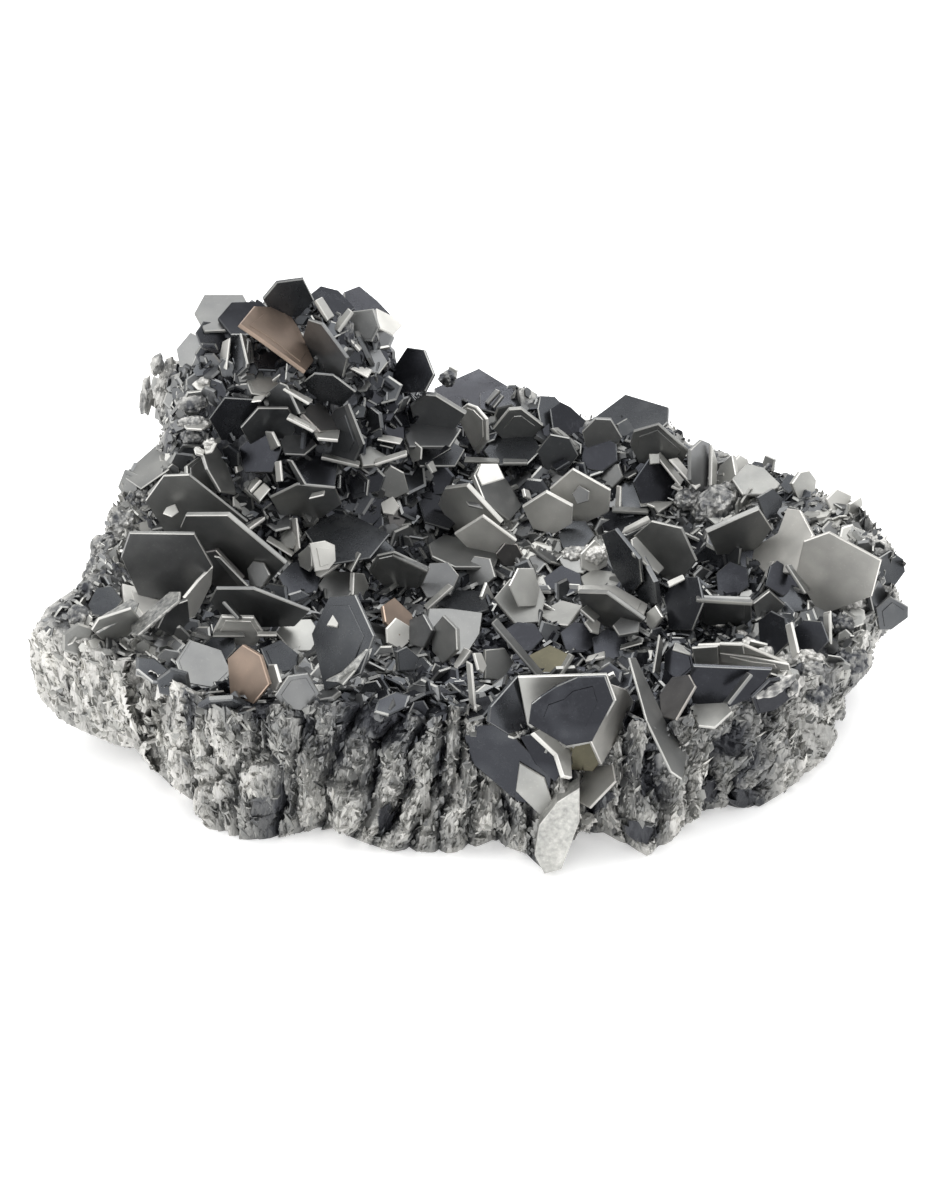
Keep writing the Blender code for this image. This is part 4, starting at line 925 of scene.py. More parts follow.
# %% How deep, how light and how flat the wall is
FACE_LIFT = 0.3
FACE_REACH = 3.0
WALL_FRONT = 12.0


def spots_at(across, up, spots, power=1.5, fall=1.0):
    """The sum of round spots at places on the board, each given by its place, half sizes and height."""
    total = 0.0 * across
    for a, u, half_a, half_u, height in spots:
        spread = ((across - a) / half_a) ** 2 + ((up - u) / half_u) ** 2
        total = total + height * np.exp(-fall * spread**power)
    return total


def flattened(rings, tones):
    """The rings with every listed face laid flat, their tones, and which points lie on a face. The rim
    stays as it is, so that its outline never crosses itself."""
    points, shades = rings.reshape(-1, 3), tones.ravel()
    plain = np.zeros(len(points))
    below_rim = np.arange(len(points)) < len(points) - rings.shape[1]
    for tone, slope, outline in WALL_FACES:
        on_front = lined_up(*on_board(points), outline) & (points[:, 1] < WALL_FRONT)
        under = np.flatnonzero(on_front & below_rim)
        across, up = points[under] @ BOARD_RIGHT, points[under] @ BOARD_UP
        depth = points[under] @ TO_VIEWER
        sides = np.stack([across, up, np.ones(len(under))], axis=1)
        plane = sides @ np.linalg.lstsq(sides, depth, rcond=None)[0]
        plane += float(slope) * (across - across.mean()) + FACE_LIFT
        points[under] += TO_VIEWER * np.clip(plane - depth, -FACE_REACH, FACE_REACH)[:, None]
        points[under, 2] = np.maximum(points[under, 2], 0.0)
        shades[under] = float(tone)
        plain[under] = 1.0
    return points.reshape(rings.shape), shades.reshape(tones.shape), plain.reshape(tones.shape)


print("the first pit is", round(float(spots_at(*PITS[0][:2], PITS)), 2), "mm deep at its middle")

# %% Push the wall in and out
WIDE_COLUMNS = 62
NARROW_BLADES = 340
WALL_LENGTH = 290.0
DARKEST_WALL = 0.08
# Where columns lean to the right: x, half width, and how far for each millimetre that they rise.
COLUMN_LEANS = [(-8, 9, 0.42), (32, 7, 0.4)]


def front_lean(x, y):
    """How far a column leans to the right for each millimetre that it rises."""
    leans = sum(lean * np.exp(-(((x - middle) / half) ** 2)) for middle, half, lean in COLUMN_LEANS)
    return np.where(y < 0, leans, 0.0)


def wall_relief(turn, points):
    """How far each point of the wall stands out, and its tone from 0 to 1, which carries painted shade in
    the grooves between the wide columns and in the pits.
    """
    height = points[:, 2]
    slip = front_lean(points[:, 0], points[:, 1]) * height / WALL_LENGTH
    broad_waver = 0.005 * smooth_noise(turn * 60, height / 5, 60, seed=3)
    fine_waver = 0.001 * smooth_noise(turn * 200, height / 2, 200, seed=4)
    place = turn - slip + (broad_waver + fine_waver)
    wide, wide_chance, wide_face = column_row(
        place * WIDE_COLUMNS, height, WIDE_COLUMNS, run=7.5, sharpness=2.3, seed=5
    )
    _, narrow_chance, face = column_row(
        place * NARROW_BLADES, height, NARROW_BLADES, run=2.2, sharpness=2.0, seed=6
    )
    relief = 2.3 * wide + 2.0 * (wide_chance - 0.5) + 1.1 * wide_face
    relief += 0.5 * (narrow_chance - 0.5) + 0.7 * face - 2.2
    patches = smooth_noise(turn * 70, height / 3.2, 70, seed=8)
    calm = np.interp(points[:, 0], (-42, -30), (0.6, 1.0))
    # Painted shade: the tone drops in the grooves between the wide columns, where wide is 0. The rest of this
    # term is tone that differs at random from column to column and patch to patch.
    groove_shade_and_tone = 0.55 * wide - 0.42 + 0.3 * (wide_chance - 0.5) + 0.2 * (narrow_chance - 0.5) + 0.14 * patches
    tone = np.interp(points[:, 0], *zip(*WALL_TONES)) + calm * groove_shade_and_tone
    across, up = on_board(points)
    pits = spots_at(across, up, PITS) * (points[:, 1] < 0)
    shift = spots_at(across, up, WALL_PATCHES) * (points[:, 1] < WALL_FRONT)
    # Painted shade: the pits are painted darker the deeper they are.
    return calm * relief - pits, np.clip(tone + shift - 0.15 * pits, DARKEST_WALL, 1.0)


print(WIDE_COLUMNS, "wide columns and", NARROW_BLADES, "narrow blades round the wall")

# %% The fine wall
FRONT_STEPS, BACK_STEPS, WALL_ROWS = 640, 180, 104
BACK_START, FRONT_START, FRONT_END = 0.47, 0.87, 1.47
LEFT_RIM = (-46, -36)
LEFT_RIM_RISE = 4.6


def wall_turns():
    """Turns round the wall: close together at the front, wide apart at the back."""
    front = np.linspace(FRONT_START, FRONT_END, FRONT_STEPS, endpoint=False)
    back = np.linspace(BACK_START, FRONT_START, BACK_STEPS, endpoint=False)
    return np.concatenate([front % 1.0, back])


def fine_wall():
    """Points of the wall, ring by ring from foot to rim, and the tone of each."""
    turns = wall_turns()
    stations = [station_at(turn) for turn in turns]
    profiles = np.array([wall_profile(station) for station in stations])
    steps = np.linalg.norm(np.diff(profiles, axis=1), axis=2)
    lengths = np.concatenate([np.zeros((len(turns), 1)), np.cumsum(steps, axis=1)], axis=1)
    outward = np.array([station[:2] - CRUST_CENTRE for station in stations])
    outward /= np.linalg.norm(outward, axis=1)[:, None]
    rings, tones = [], []
    for level in np.linspace(0, 1, WALL_ROWS):
        lines = zip(level * lengths[:, -1], lengths, profiles)
        ring = np.array([[np.interp(a, run, line[:, k]) for k in range(3)] for a, run, line in lines])
        relief, tone = wall_relief(turns, ring)
        relief *= min(1.0, 0.45 + 4 * level)
        ring[:, :2] += outward * relief[:, None]
        rise = np.interp(ring[:, 0], LEFT_RIM, (0.0, LEFT_RIM_RISE))
        ring[:, 2] += level**5 * rise * (tone - 0.35)
        ring = np.array(fitted(ring, margin=0.3))
        rings.append(ring if level else ring * (1, 1, 0))
        tones.append(tone)
    return flattened(np.array(rings), np.array(tones))


wall_points, wall_tones, wall_plain = fine_wall()
print("fine wall:", wall_points.shape[0], "rings of", wall_points.shape[1], "points")

# %% The fine crust
RIM_STRIDE = 6
TOP_DROP = 1.1
# Painted shade: the crust's top is painted dark so that the gaps between plates and crystals read as shade.
TOP_PAINTED_SHADE = 0.18


def store(mesh, name, values, kind="FLOAT", field="value"):
    """Keep a value, or a vector, for every point of a mesh."""
    layer = mesh.attributes.new(name, kind, "POINT")
    layer.data.foreach_set(field, np.asarray(values, np.float32).ravel())


def keep(name, data):
    """An object at the origin, linked to the scene. A piece has its place in its mesh, in metres."""
    obj = bpy.data.objects.new(name, data)
    bpy.context.scene.collection.objects.link(obj)
    return obj


def keep_built(name, mesh):
    """Turn a mesh that was built up face by face into a finished piece."""
    data = bpy.data.meshes.new(name)
    mesh.to_mesh(data)
    mesh.free()
    return keep(name, data)


def make_crust(rings, tones, plain):
    dice = random.Random(7)
    rim = [tuple(point) for point in rings[-1][::RIM_STRIDE]]
    tops = [(x, y, z - TOP_DROP) for x, y, z in top_points(dice, rim, spacing=1.3, relief=0.7)]
    mesh = closed_crust([[tuple(point) for point in ring] for ring in rings], tops)
    places = give_way(np.array([vert.co[:] for vert in mesh.verts]))
    for vert, place in zip(mesh.verts, places):
        vert.co = place * MM
    piece = keep_built("columnar_crust", mesh)
    store(piece.data, "tone", [*tones.ravel(), *[TOP_PAINTED_SHADE] * len(tops)])
    store(piece.data, "plain", [*plain.ravel(), *[0.0] * len(tops)])
    return piece


crust = make_crust(wall_points, wall_tones, wall_plain)
print("fine crust:", len(crust.data.polygons), "triangles")

# %% [markdown]
# ## Plates with bevelled rims
# The plates are nearly mirrors, so most of what is seen of one is its rim: a thin light line where the
# bevel catches the light, with a painted highlight on top: the bevel's faces are painted lighter, each
# side by its own chance. Each plate gets a bevel, side faces, and on some a second, smaller plate on
# top, which is how these crystals grow.

# %% Build one bevelled plate
PLATE_VALUES = ("tone", "edge", "warm", "olive", "coarse")
THINNING = (0.35, 0.75)
WIDEST_BEVEL = 0.11
STEP_CHANCE = 0.13
LEAST_STEP_RADIUS = 1.3
STEP_INSETS = (0.12, 0.4)
STEP_DRIFT = 0.1
STEP_HEIGHT = 0.1
STEP_BEVEL = 0.05
TONE_SPREAD = (0.9, 1.1)


def pulled_in(corners, amount):
    """Corners moved towards their middle by a length."""
    middle = sum(corners) / len(corners)
    reach = [np.linalg.norm(corner - middle) for corner in corners]
    return [middle + (corner - middle) * max(0.15, 1 - amount / size) for corner, size in zip(corners, reach)]


def add_plate(mesh, layers, corners, normal, thickness, finish, dice):
    """A plate with bevelled rims and, on some, a second plate on top. Lengths in millimetres."""
    first = len(mesh.faces)
    thickness *= dice.uniform(*THINNING)
    radius = max(np.linalg.norm(a - b) for a in corners for b in corners) / 2
    bevel = min(WIDEST_BEVEL, 0.1 * radius)
    sides = np.array([dice.random() ** 1.5 for _ in corners])
    rings = [
        [c - normal * thickness for c in pulled_in(corners, bevel)],
        [c - normal * (thickness - bevel) for c in corners],
        [c - normal * bevel for c in corners],
        pulled_in(corners, bevel),
    ]
    if dice.random() < STEP_CHANCE and radius > LEAST_STEP_RADIUS:
        inset = dice.uniform(*STEP_INSETS) * radius
        drift = (corners[0] - sum(corners) / len(corners)) * dice.uniform(-STEP_DRIFT, STEP_DRIFT)
        step = pulled_in(corners, inset)
        rings.append([c + drift for c in step])
        rings.append([c + drift + normal * STEP_HEIGHT for c in pulled_in(step, STEP_BEVEL)])
    loops = [[mesh.verts.new(c * MM) for c in ring] for ring in rings]
    # Painted highlight: how much lighter the faces of each band are painted, most on the front bevel.
    painted_highlights = [0.0 * sides, 0.1 + 0.3 * sides, 0.25 + 0.75 * sides, 0.0 * sides, 0.3 * sides]
    for lower, upper, painted_highlight in zip(loops, loops[1:], painted_highlights):
        band(mesh, lower, upper, layers["edge"], painted_highlight)
    mesh.faces.new(loops[-1])
    mesh.faces.new(list(reversed(loops[0])))
    mesh.faces.ensure_lookup_table()
    tone = TONES[finish] * dice.uniform(*TONE_SPREAD)
    for face in mesh.faces[first:]:
        face[layers["tone"]] = tone
        face[layers["warm"]] = WARM.get(finish, 0.0)
        face[layers["olive"]] = float(finish == "honey")
        face[layers["coarse"]] = COARSE.get(finish, 0.0)


# %% Make the drawn plates and those of the far side
FAR_FINISHES = ("jet", "jet", "graphite", "iron", "steel", "silver")
LATH_SHARE = 0.7


def make_plates():
    mesh = bmesh.new()
    layers = {name: mesh.faces.layers.float.new(name) for name in PLATE_VALUES}
    dice = random.Random(11)
    for (finish, *_), (_, corners, normal, thickness) in zip(PLATES, LAID_PLATES):
        add_plate(mesh, layers, corners, normal, thickness, finish, dice)
    for corners, normal in FAR_PLATES:
        add_plate(mesh, layers, corners, normal, PLATE_THICKNESS, dice.choice(FAR_FINISHES), dice)
    for (finish, *_), (_, corners, normal, thickness) in zip(LATHS, LAID_LATHS):
        add_plate(mesh, layers, corners, normal, LATH_SHARE * thickness, finish, dice)
    bmesh.ops.recalc_face_normals(mesh, faces=mesh.faces)
    return keep_built("plate_crystals", mesh)


plates = make_plates()
print("drawn plates:", len(plates.data.polygons), "faces")

# %% [markdown]
# ## Nodes written as sums
# Materials and Geometry Nodes trees are easier to read as sums than as dozens of link calls. A wire wraps
# a socket, and the usual signs add Math nodes; any other node comes from one method.

# %% Wires and graphs
class Wire:
    """An output socket that can be used in a sum."""

    def __init__(self, graph, node, socket):
        self.graph, self.node, self.socket = graph, node, socket

    def out(self, name):
        return Wire(self.graph, self.node, self.node.outputs[name])

    def maths(self, operation, *values, **settings):
        return self.graph.add("ShaderNodeMath", {"operation": operation, **settings}, values)

    def __add__(self, other):
        return self.maths("ADD", self, other)

    def __mul__(self, other):
        return self.maths("MULTIPLY", self, other)

    def __sub__(self, other):
        return self.maths("SUBTRACT", self, other)

    def __rsub__(self, other):
        return self.maths("SUBTRACT", other, self)

    def __pow__(self, other):
        return self.maths("POWER", self, other)

    def __gt__(self, other):
        return self.maths("GREATER_THAN", self, other)

    def clamped(self):
        return self.maths("ADD", self, 0.0, use_clamp=True)

    __radd__ = __add__
    __rmul__ = __mul__


# %% A graph that nodes are added to
class Graph:
    """A node tree that nodes are added to, one call a node."""

    def __init__(self, tree):
        self.tree = tree

    def add(self, kind, settings=None, inputs=(), output=0):
        node = self.tree.nodes.new(kind)
        for name, value in (settings or {}).items():
            if name == "stops":
                self.set_stops(node.color_ramp, value)
            else:
                setattr(node, name, value)
        for key, value in inputs.items() if isinstance(inputs, dict) else enumerate(inputs):
            if isinstance(value, Wire):
                self.tree.links.new(value.socket, node.inputs[key])
            else:
                node.inputs[key].default_value = value
        return Wire(self, node, node.outputs[output]) if len(node.outputs) else node

    def set_stops(self, ramp, stops):
        while len(ramp.elements) < len(stops):
            ramp.elements.new(1.0)
        for element, (place, colour) in zip(ramp.elements, stops):
            element.position = place
            element.color = (*colour, 1.0)

    def mix(self, share, one, two, blend="MIX"):
        """Mix two colours."""
        settings = {"data_type": "RGBA", "blend_type": blend}
        return self.add("ShaderNodeMix", settings, {0: share, 6: one, 7: two}, output=2)

    def vectors(self, operation, inputs, output=0):
        return self.add("ShaderNodeVectorMath", {"operation": operation}, inputs, output)

    def ramp(self, value, stops):
        return self.add("ShaderNodeValToRGB", {"stops": stops}, (value,))

    def attribute(self, name):
        return self.add("ShaderNodeAttribute", {"attribute_name": name}, output="Fac")

    def noise(self, place, scale, detail=2.0, roughness=0.5):
        inputs = {"Vector": place, "Scale": scale, "Detail": detail, "Roughness": roughness}
        return self.add("ShaderNodeTexNoise", {}, inputs)

    def bump(self, height, strength, distance):
        return self.add("ShaderNodeBump", {}, {"Strength": strength, "Distance": distance, "Height": height})


# %% A material with its graph
def new_material(name, **constants):
    """A material with its own graph, its Principled shader, and a wire for the object's coordinates. The
    constants are set on the shader's own sockets, whose names have underscores here for spaces."""
    material = bpy.data.materials.new(name)
    material.use_nodes = True
    graph = Graph(material.node_tree)
    shader = material.node_tree.nodes["Principled BSDF"]
    for socket, value in constants.items():
        shader.inputs[socket.replace("_", " ")].default_value = value
    return material, graph, shader


def plug(graph, shader, **wires):
    """Link wires to the shader's sockets."""
    for socket, wire in wires.items():
        graph.tree.links.new(wire.socket, shader.inputs[socket.replace("_", " ")])


# %% [markdown]
# ## The finish of a plate
# Silicon carbide reflects a fifth of the light at its surface, and the crystals run from jet black
# mirrors to silvery, frosted ones. Metal is the simplest stand-in for such a mirror: the base colour is
# then the share of light that comes back. Each face carries its own tone, partly painted reflection and
# painted shade, and its rims a painted highlight.

# %% Plate material
REFLECTANCE = [
    (0.0, (0.02, 0.021, 0.025)), (0.06, (0.037, 0.039, 0.045)), (0.16, (0.065, 0.069, 0.074)),
    (0.3, (0.144, 0.147, 0.149)), (0.5, (0.268, 0.27, 0.26)), (0.7, (0.44, 0.438, 0.415)),
    (1.0, (0.74, 0.73, 0.695)),
]
WHITE, BROWN, OLIVE = (1.0, 1.0, 1.0, 1.0), (0.86, 0.66, 0.55, 1.0), (0.78, 0.7, 0.46, 1.0)
GLANCING_TINT = (0.72, 0.72, 0.74, 1.0)


def plate_material(name, roughest):
    """The crystals' finish; the roughest share is added in full on the lightest faces."""
    material, graph, shader = new_material(name, Metallic=0.8, Specular_Tint=GLANCING_TINT)
    place = graph.add("ShaderNodeTexCoord", output="Object")
    tone, edge, warm, olive, coarse = (graph.attribute(value) for value in PLATE_VALUES)
    cloud = graph.noise(place, scale=260.0, detail=3.0)
    fine = graph.noise(place, scale=1600.0, detail=4.0, roughness=0.6)
    specks = graph.noise(place, scale=3200.0, detail=1.0) > 0.68
    frost = (graph.noise(place, scale=420.0, detail=5.0, roughness=0.65) - 0.52).clamped() * 2.2
    patch = (graph.noise(place, scale=170.0, detail=1.0) - 0.52).clamped()
    level = tone * (0.75 + cloud * 0.5) + patch * 0.35 + frost * 0.08 + specks * 0.03
    # Painted highlight: faces with a rim highlight value are made lighter, a little less on light plates.
    level = level + edge * (0.5 - tone * 0.2) + coarse * (fine - 0.55) * 1.2
    tint = graph.mix(olive, graph.mix(warm, WHITE, BROWN), OLIVE)
    colour = graph.mix(1.0, graph.ramp(level, REFLECTANCE), tint, "MULTIPLY")
    rough = 0.2 + tone * roughest + frost * 0.2 + fine * 0.06
    height = fine * (0.12 + coarse * 5.0) + cloud * 0.9 + frost * 0.3
    bump = graph.bump(height, strength=0.2, distance=0.00012)
    plug(graph, shader, Base_Color=colour, Roughness=rough.clamped(), Normal=bump)
    return material


PLATE_MATERIAL = plate_material("plate_mirror", 0.36)
FLAKE_MATERIAL = plate_material("flake_satin", 0.55)
plates.data.materials.append(PLATE_MATERIAL)
print("a plate's finish has", len(PLATE_MATERIAL.node_tree.nodes), "nodes")

# %% [markdown]
# ## The finish of the crust
# The crust sparkles because its fibres end in thousands of tiny flat facets. Cells of a Voronoi pattern,
# stretched upright, each tilt the surface their own way, which gives every cell its own reflection.

# %% Crust material
CRUST_REFLECTANCE = [
    (0.0, (0.022, 0.023, 0.029)), (0.2, (0.066, 0.069, 0.076)), (0.45, (0.19, 0.191, 0.188)),
    (0.7, (0.365, 0.362, 0.347)), (1.0, (0.61, 0.6, 0.575)),
]


def crust_material():
    material, graph, shader = new_material("crust_silver", Metallic=0.6)
    place = graph.add("ShaderNodeTexCoord", output="Object")
    tone, plain = graph.attribute("tone"), graph.attribute("plain")
    upright = graph.add("ShaderNodeMapping", {}, {"Vector": place, "Scale": (1.0, 1.0, 0.3)})
    cells = graph.add("ShaderNodeTexVoronoi", {}, {"Vector": upright, "Scale": 2300.0}).out("Color")
    facet = graph.vectors("SUBTRACT", (cells, (0.5, 0.5, 0.5)))
    facet = graph.vectors("SCALE", {0: facet, "Scale": 0.5 - plain * 0.3})
    speck = graph.vectors("DOT_PRODUCT", (cells, (1, 0, 0)), "Value")
    fibre = graph.noise(upright, scale=2600.0, detail=3.0, roughness=0.6)
    dirt = graph.noise(place, scale=330.0, detail=4.0, roughness=0.6)
    tilted = graph.vectors("ADD", (graph.bump(fibre, strength=0.6, distance=0.0003), facet))
    tilted = graph.vectors("NORMALIZE", (tilted,))
    level = tone + (fibre - 0.5) * 0.27 + (dirt - 0.5) * 0.27 + (speck - 0.5) * (0.18 - plain * 0.1)
    shade = graph.ramp(level.clamped(), CRUST_REFLECTANCE)
    plug(graph, shader, Base_Color=shade, Roughness=0.32 + dirt * 0.3, Normal=tilted)
    return material


CRUST_MATERIAL = crust_material()
crust.data.materials.append(CRUST_MATERIAL)
print("the crust's finish has", len(CRUST_MATERIAL.node_tree.nodes), "nodes")

# %% [markdown]
# ## Small crystals by Geometry Nodes
# Thousands of small plates fill the gaps between the large ones. One stamp, a six-sided chip, is set out
# over the top of the crust by chance, each copy with its own size, lean, turn and tone. The middling
# ones take a bevelled stamp, and the same tree sets slivers and chips along the columns of the wall.
# The stamps' side faces carry a painted highlight, which the copies keep.

# %% The stamps
# Each profile: the size and the height of every ring of corners, as shares of the plate.
BEVELLED = [(0.86, -0.5), (1.0, -0.3), (1.0, 0.3), (0.86, 0.5)]
PLAIN = [(1.0, -0.5), (0.92, 0.5)]
# Painted highlight: how much lighter each band of a stamp's side faces is painted, and each side of it.
BAND_GAINS = (0.4, 0.7, 1.0)
SIDE_PAINTED_HIGHLIGHTS = np.array((0.9, 0.15, 0.5, 0.1, 0.75, 0.3))
SLIVER_WAIST = ((0.42, 0), (0, 0.2), (-0.42, 0), (0, -0.2))
# Painted highlight: how much lighter each face of a sliver is painted, in turn round it.
SLIVER_PAINTED_HIGHLIGHTS = (0.3, 0.0, 0.1, 0.0)


def stamp(name, thickness, profile):
    """A six-sided plate lying flat about the origin, one unit being a metre."""
    mesh = bmesh.new()
    edge = mesh.faces.layers.float.new("edge")
    corners = [Vector((math.cos(k * math.pi / 3), math.sin(k * math.pi / 3))) for k in range(6)]
    loops = []
    for size, height in profile:
        loops.append([mesh.verts.new((*(size * corner), height * thickness)) for corner in corners])
    for lower, upper, gain in zip(loops, loops[1:], BAND_GAINS):
        band(mesh, lower, upper, edge, gain * SIDE_PAINTED_HIGHLIGHTS)
    mesh.faces.new(loops[-1])
    mesh.faces.new(list(reversed(loops[0])))
    bmesh.ops.recalc_face_normals(mesh, faces=mesh.faces)
    return keep_built(name, mesh)


def sliver_stamp():
    """A flattened, four-sided splinter with both ends pointed, standing up."""
    mesh = bmesh.new()
    edge = mesh.faces.layers.float.new("edge")
    tips = [mesh.verts.new((0, 0, z)) for z in (-1.0, 1.0)]
    waist = [mesh.verts.new((x, y, 0.15)) for x, y in SLIVER_WAIST]
    for tip in tips:
        for k, painted_highlight in enumerate(SLIVER_PAINTED_HIGHLIGHTS):
            mesh.faces.new((tip, waist[k], waist[(k + 1) % 4]))[edge] = painted_highlight
    bmesh.ops.recalc_face_normals(mesh, faces=mesh.faces)
    return keep_built("sliver_stamp", mesh)


plate_stamp = stamp("plate_stamp", 0.2, BEVELLED)
chip_stamp = stamp("chip_stamp", 0.24, PLAIN)
splinter = sliver_stamp()
print("faces of the stamps:", [len(each.data.polygons) for each in (plate_stamp, chip_stamp, splinter)])

# %% The scatter tree
SCATTER_INPUTS = [
    ("Surface", "Geometry"), ("Stamp", "Object"), ("Material", "Material"), ("Density", "Float"),
    ("Smallest", "Float"), ("Largest", "Float"), ("Lean", "Float"), ("Darkest", "Float"),
    ("Lightest", "Float"), ("Frosting", "Float"), ("Seed", "Int"),
]


def scatter_tree(name):
    """A tree that sets copies of a stamp over a surface, each leaning off the surface's grain."""
    tree = bpy.data.node_groups.new(name, "GeometryNodeTree")
    tree.interface.new_socket("Geometry", in_out="OUTPUT", socket_type="NodeSocketGeometry")
    for label, kind in SCATTER_INPUTS:
        tree.interface.new_socket(label, in_out="INPUT", socket_type="NodeSocket" + kind)
    graph = Graph(tree)
    given = graph.add("NodeGroupInput")
    density, smallest, lean = given.out("Density"), given.out("Smallest"), given.out("Lean")
    darkest, seed = given.out("Darkest"), given.out("Seed")

    def stored(label, kind="FLOAT"):
        named = "GeometryNodeInputNamedAttribute"
        return graph.add(named, {"data_type": kind}, (label,), output="Attribute")

    def chance(low, high, extra):
        inputs = {2: low, 3: high, "Seed": seed + extra}
        return graph.add("FunctionNodeRandomValue", {"data_type": "FLOAT"}, inputs, output=1)

    spots = graph.add(
        "GeometryNodeDistributePointsOnFaces", {"distribute_method": "RANDOM"},
        {"Mesh": given.out("Surface"), "Density": density * stored("room"), "Seed": seed},
    )
    wander = graph.add(
        "FunctionNodeRandomValue", {"data_type": "FLOAT_VECTOR"},
        {"Min": (-1, -1, -1), "Max": (1, 1, 1), "Seed": seed + 1},
    )
    wander = graph.vectors("SCALE", {0: wander, "Scale": lean})
    aim = graph.vectors("ADD", (stored("grain", "FLOAT_VECTOR"), wander))
    turned = graph.add("FunctionNodeAlignRotationToVector", {"axis": "Z"}, {"Vector": aim})
    spin = {"Axis": (0, 0, 1), "Angle": chance(0.0, 6.283, 2)}
    spin = graph.add("FunctionNodeAxisAngleToRotation", {}, spin)
    turned = {"Rotation": turned, "Rotate By": spin}
    turned = graph.add("FunctionNodeRotateRotation", {"rotation_space": "LOCAL"}, turned)
    size = smallest + (given.out("Largest") - smallest) * chance(0.0, 1.0, 3) ** 2.0
    size = size * stored("reach")
    width, thickness = size * chance(0.6, 1.0, 4), size * chance(0.7, 1.4, 5)
    shape = graph.add("ShaderNodeCombineXYZ", {}, (size, width, thickness))
    crystal = graph.add(
        "GeometryNodeObjectInfo", {"transform_space": "ORIGINAL"}, {"Object": given.out("Stamp")}, "Geometry"
    )
    copies = {"Points": spots, "Instance": crystal, "Rotation": turned, "Scale": shape}
    copies = graph.add("GeometryNodeInstanceOnPoints", {}, copies)
    tone = darkest + (given.out("Lightest") - darkest) * chance(0.0, 1.0, 6) ** 2.2
    # Painted shade: where the sheet's frost value is low or below zero, the crystal is painted darker.
    tone = tone + stored("frost") * given.out("Frosting") * chance(0.45, 1.0, 7)
    named = {"Geometry": copies, "Name": "tone", "Value": tone}
    named = graph.add("GeometryNodeStoreNamedAttribute", {"domain": "INSTANCE"}, named)
    real = graph.add("GeometryNodeRealizeInstances", {}, (named,))
    coated = {"Geometry": real, "Material": given.out("Material")}
    graph.add("NodeGroupOutput", {}, (graph.add("GeometryNodeSetMaterial", {}, coated),))
    return tree


SCATTER = scatter_tree("crystals_on_a_surface")
print("scatter tree has", len(SCATTER.nodes), "nodes")


# %% Run the scatter tree
def scatter(name, surface, **values):
    """Run the scatter tree on a surface and keep its result as a plain mesh. Lengths in metres."""
    carrier = keep(name + "_carrier", surface)
    modifier = carrier.modifiers.new("scatter", "NODES")
    modifier.node_group = SCATTER
    for socket in SCATTER.interface.items_tree:
        if socket.name.lower() in values:
            modifier[socket.identifier] = values[socket.name.lower()]
    graph = bpy.context.evaluated_depsgraph_get()
    evaluated = carrier.evaluated_get(graph)
    data = bpy.data.meshes.new_from_object(evaluated, preserve_all_data_layers=True, depsgraph=graph)
    bpy.data.objects.remove(carrier, do_unlink=True)
    data.name = name
    for vert in data.vertices:
        vert.co.z = max(vert.co.z, 0.0)
    print(name, "has", len(data.polygons), "faces")
    return keep(name, data)


# %% [markdown]
# A sheet tells the tree where crystals may grow. Four values are stored on its points: how much room
# there is, the grain that a crystal stands along, how much of its full size it may reach so near the
# outline, and how silvery it is. Below zero this last value is painted shade, which makes crystals
# blacker; on the wall it is the wall's tone, painted groove shade included.

# %% The sheet's four values
SHEET_DROP = 0.7
FRONT_BAND = 4.0
LOWEST_CRYSTAL = 0.3
SMALLEST_REACH = 0.4
# Each patch where the small crystals are more silvery, or blacker: its place, half sizes, and how much.
# The blacker patches, with a negative amount, are painted shade.
FROST_AND_SHADE_PATCHES = [
    (-34.5, 52.0, 4.0, 8.0, 1.0), (-38.0, 38.0, 5.0, 8.0, 1.0), (-46.0, 27.0, 6.0, 6.0, 1.0),
    (29.5, 42.5, 5.5, 4.5, 1.0), (42.0, 39.0, 5.0, 4.0, 1.0), (36.0, 23.0, 7.0, 4.5, 1.0),
    (45.0, 28.0, 4.0, 6.0, 1.0), (-16.0, 23.0, 6.5, 3.0, 0.9), (9.0, 34.0, 5.0, 3.5, 1.0),
    (15.0, 37.0, 4.0, 3.0, 1.0), (4.0, 38.5, 3.0, 3.0, 1.0), (-36.5, 25.5, 6.0, 3.0, 1.0),
    (4.0, 26.0, 9.0, 4.0, -0.5), (-8.0, 52.0, 4.0, 5.0, -0.4), (-8.0, 17.0, 5.0, 3.0, -0.5),
    (22.0, 18.0, 4.0, 4.0, -0.4),
]


def outline_gap(points):
    """How far inside the cluster's outline each point is seen on the board."""
    place = np.stack(on_board(points), axis=1)
    gap = np.full(len(points), np.inf)
    for one, two in zip(np.array(OUTLINE), np.roll(OUTLINE, -1, axis=0)):
        share = np.clip((place - one) @ (two - one) / ((two - one) @ (two - one)), 0, 1)
        gap = np.minimum(gap, np.linalg.norm(place - one - share[:, None] * (two - one), axis=1))
    return gap


def rim_gap(points):
    """How far inside the rim each point of the top is, seen from above."""
    rim = wall_points[-1][:, :2]
    return np.array([np.sqrt(((rim - point[:2]) ** 2).sum(axis=1).min()) for point in points])


def surface_sheet(name, points, faces, clear_behind, frost, grain, full_size_at, room):
    """An open sheet with its four values; it has no room in front of the drawn plates or just behind."""
    points = give_way(points)
    data = bpy.data.meshes.new(name)
    data.from_pydata((points * MM).tolist(), [], faces)
    free = (ahead_of_plates(points) < -clear_behind) * (points[:, 2] > LOWEST_CRYSTAL)
    store(data, "room", free * room)
    store(data, "frost", frost)
    store(data, "reach", np.clip(outline_gap(points) / full_size_at, SMALLEST_REACH, 1.0))
    store(data, "grain", grain, "FLOAT_VECTOR", "vector")
    return data


print("the outline is", round(float(outline_gap(np.zeros((1, 3)))[0]), 1), "mm from the middle of the foot")


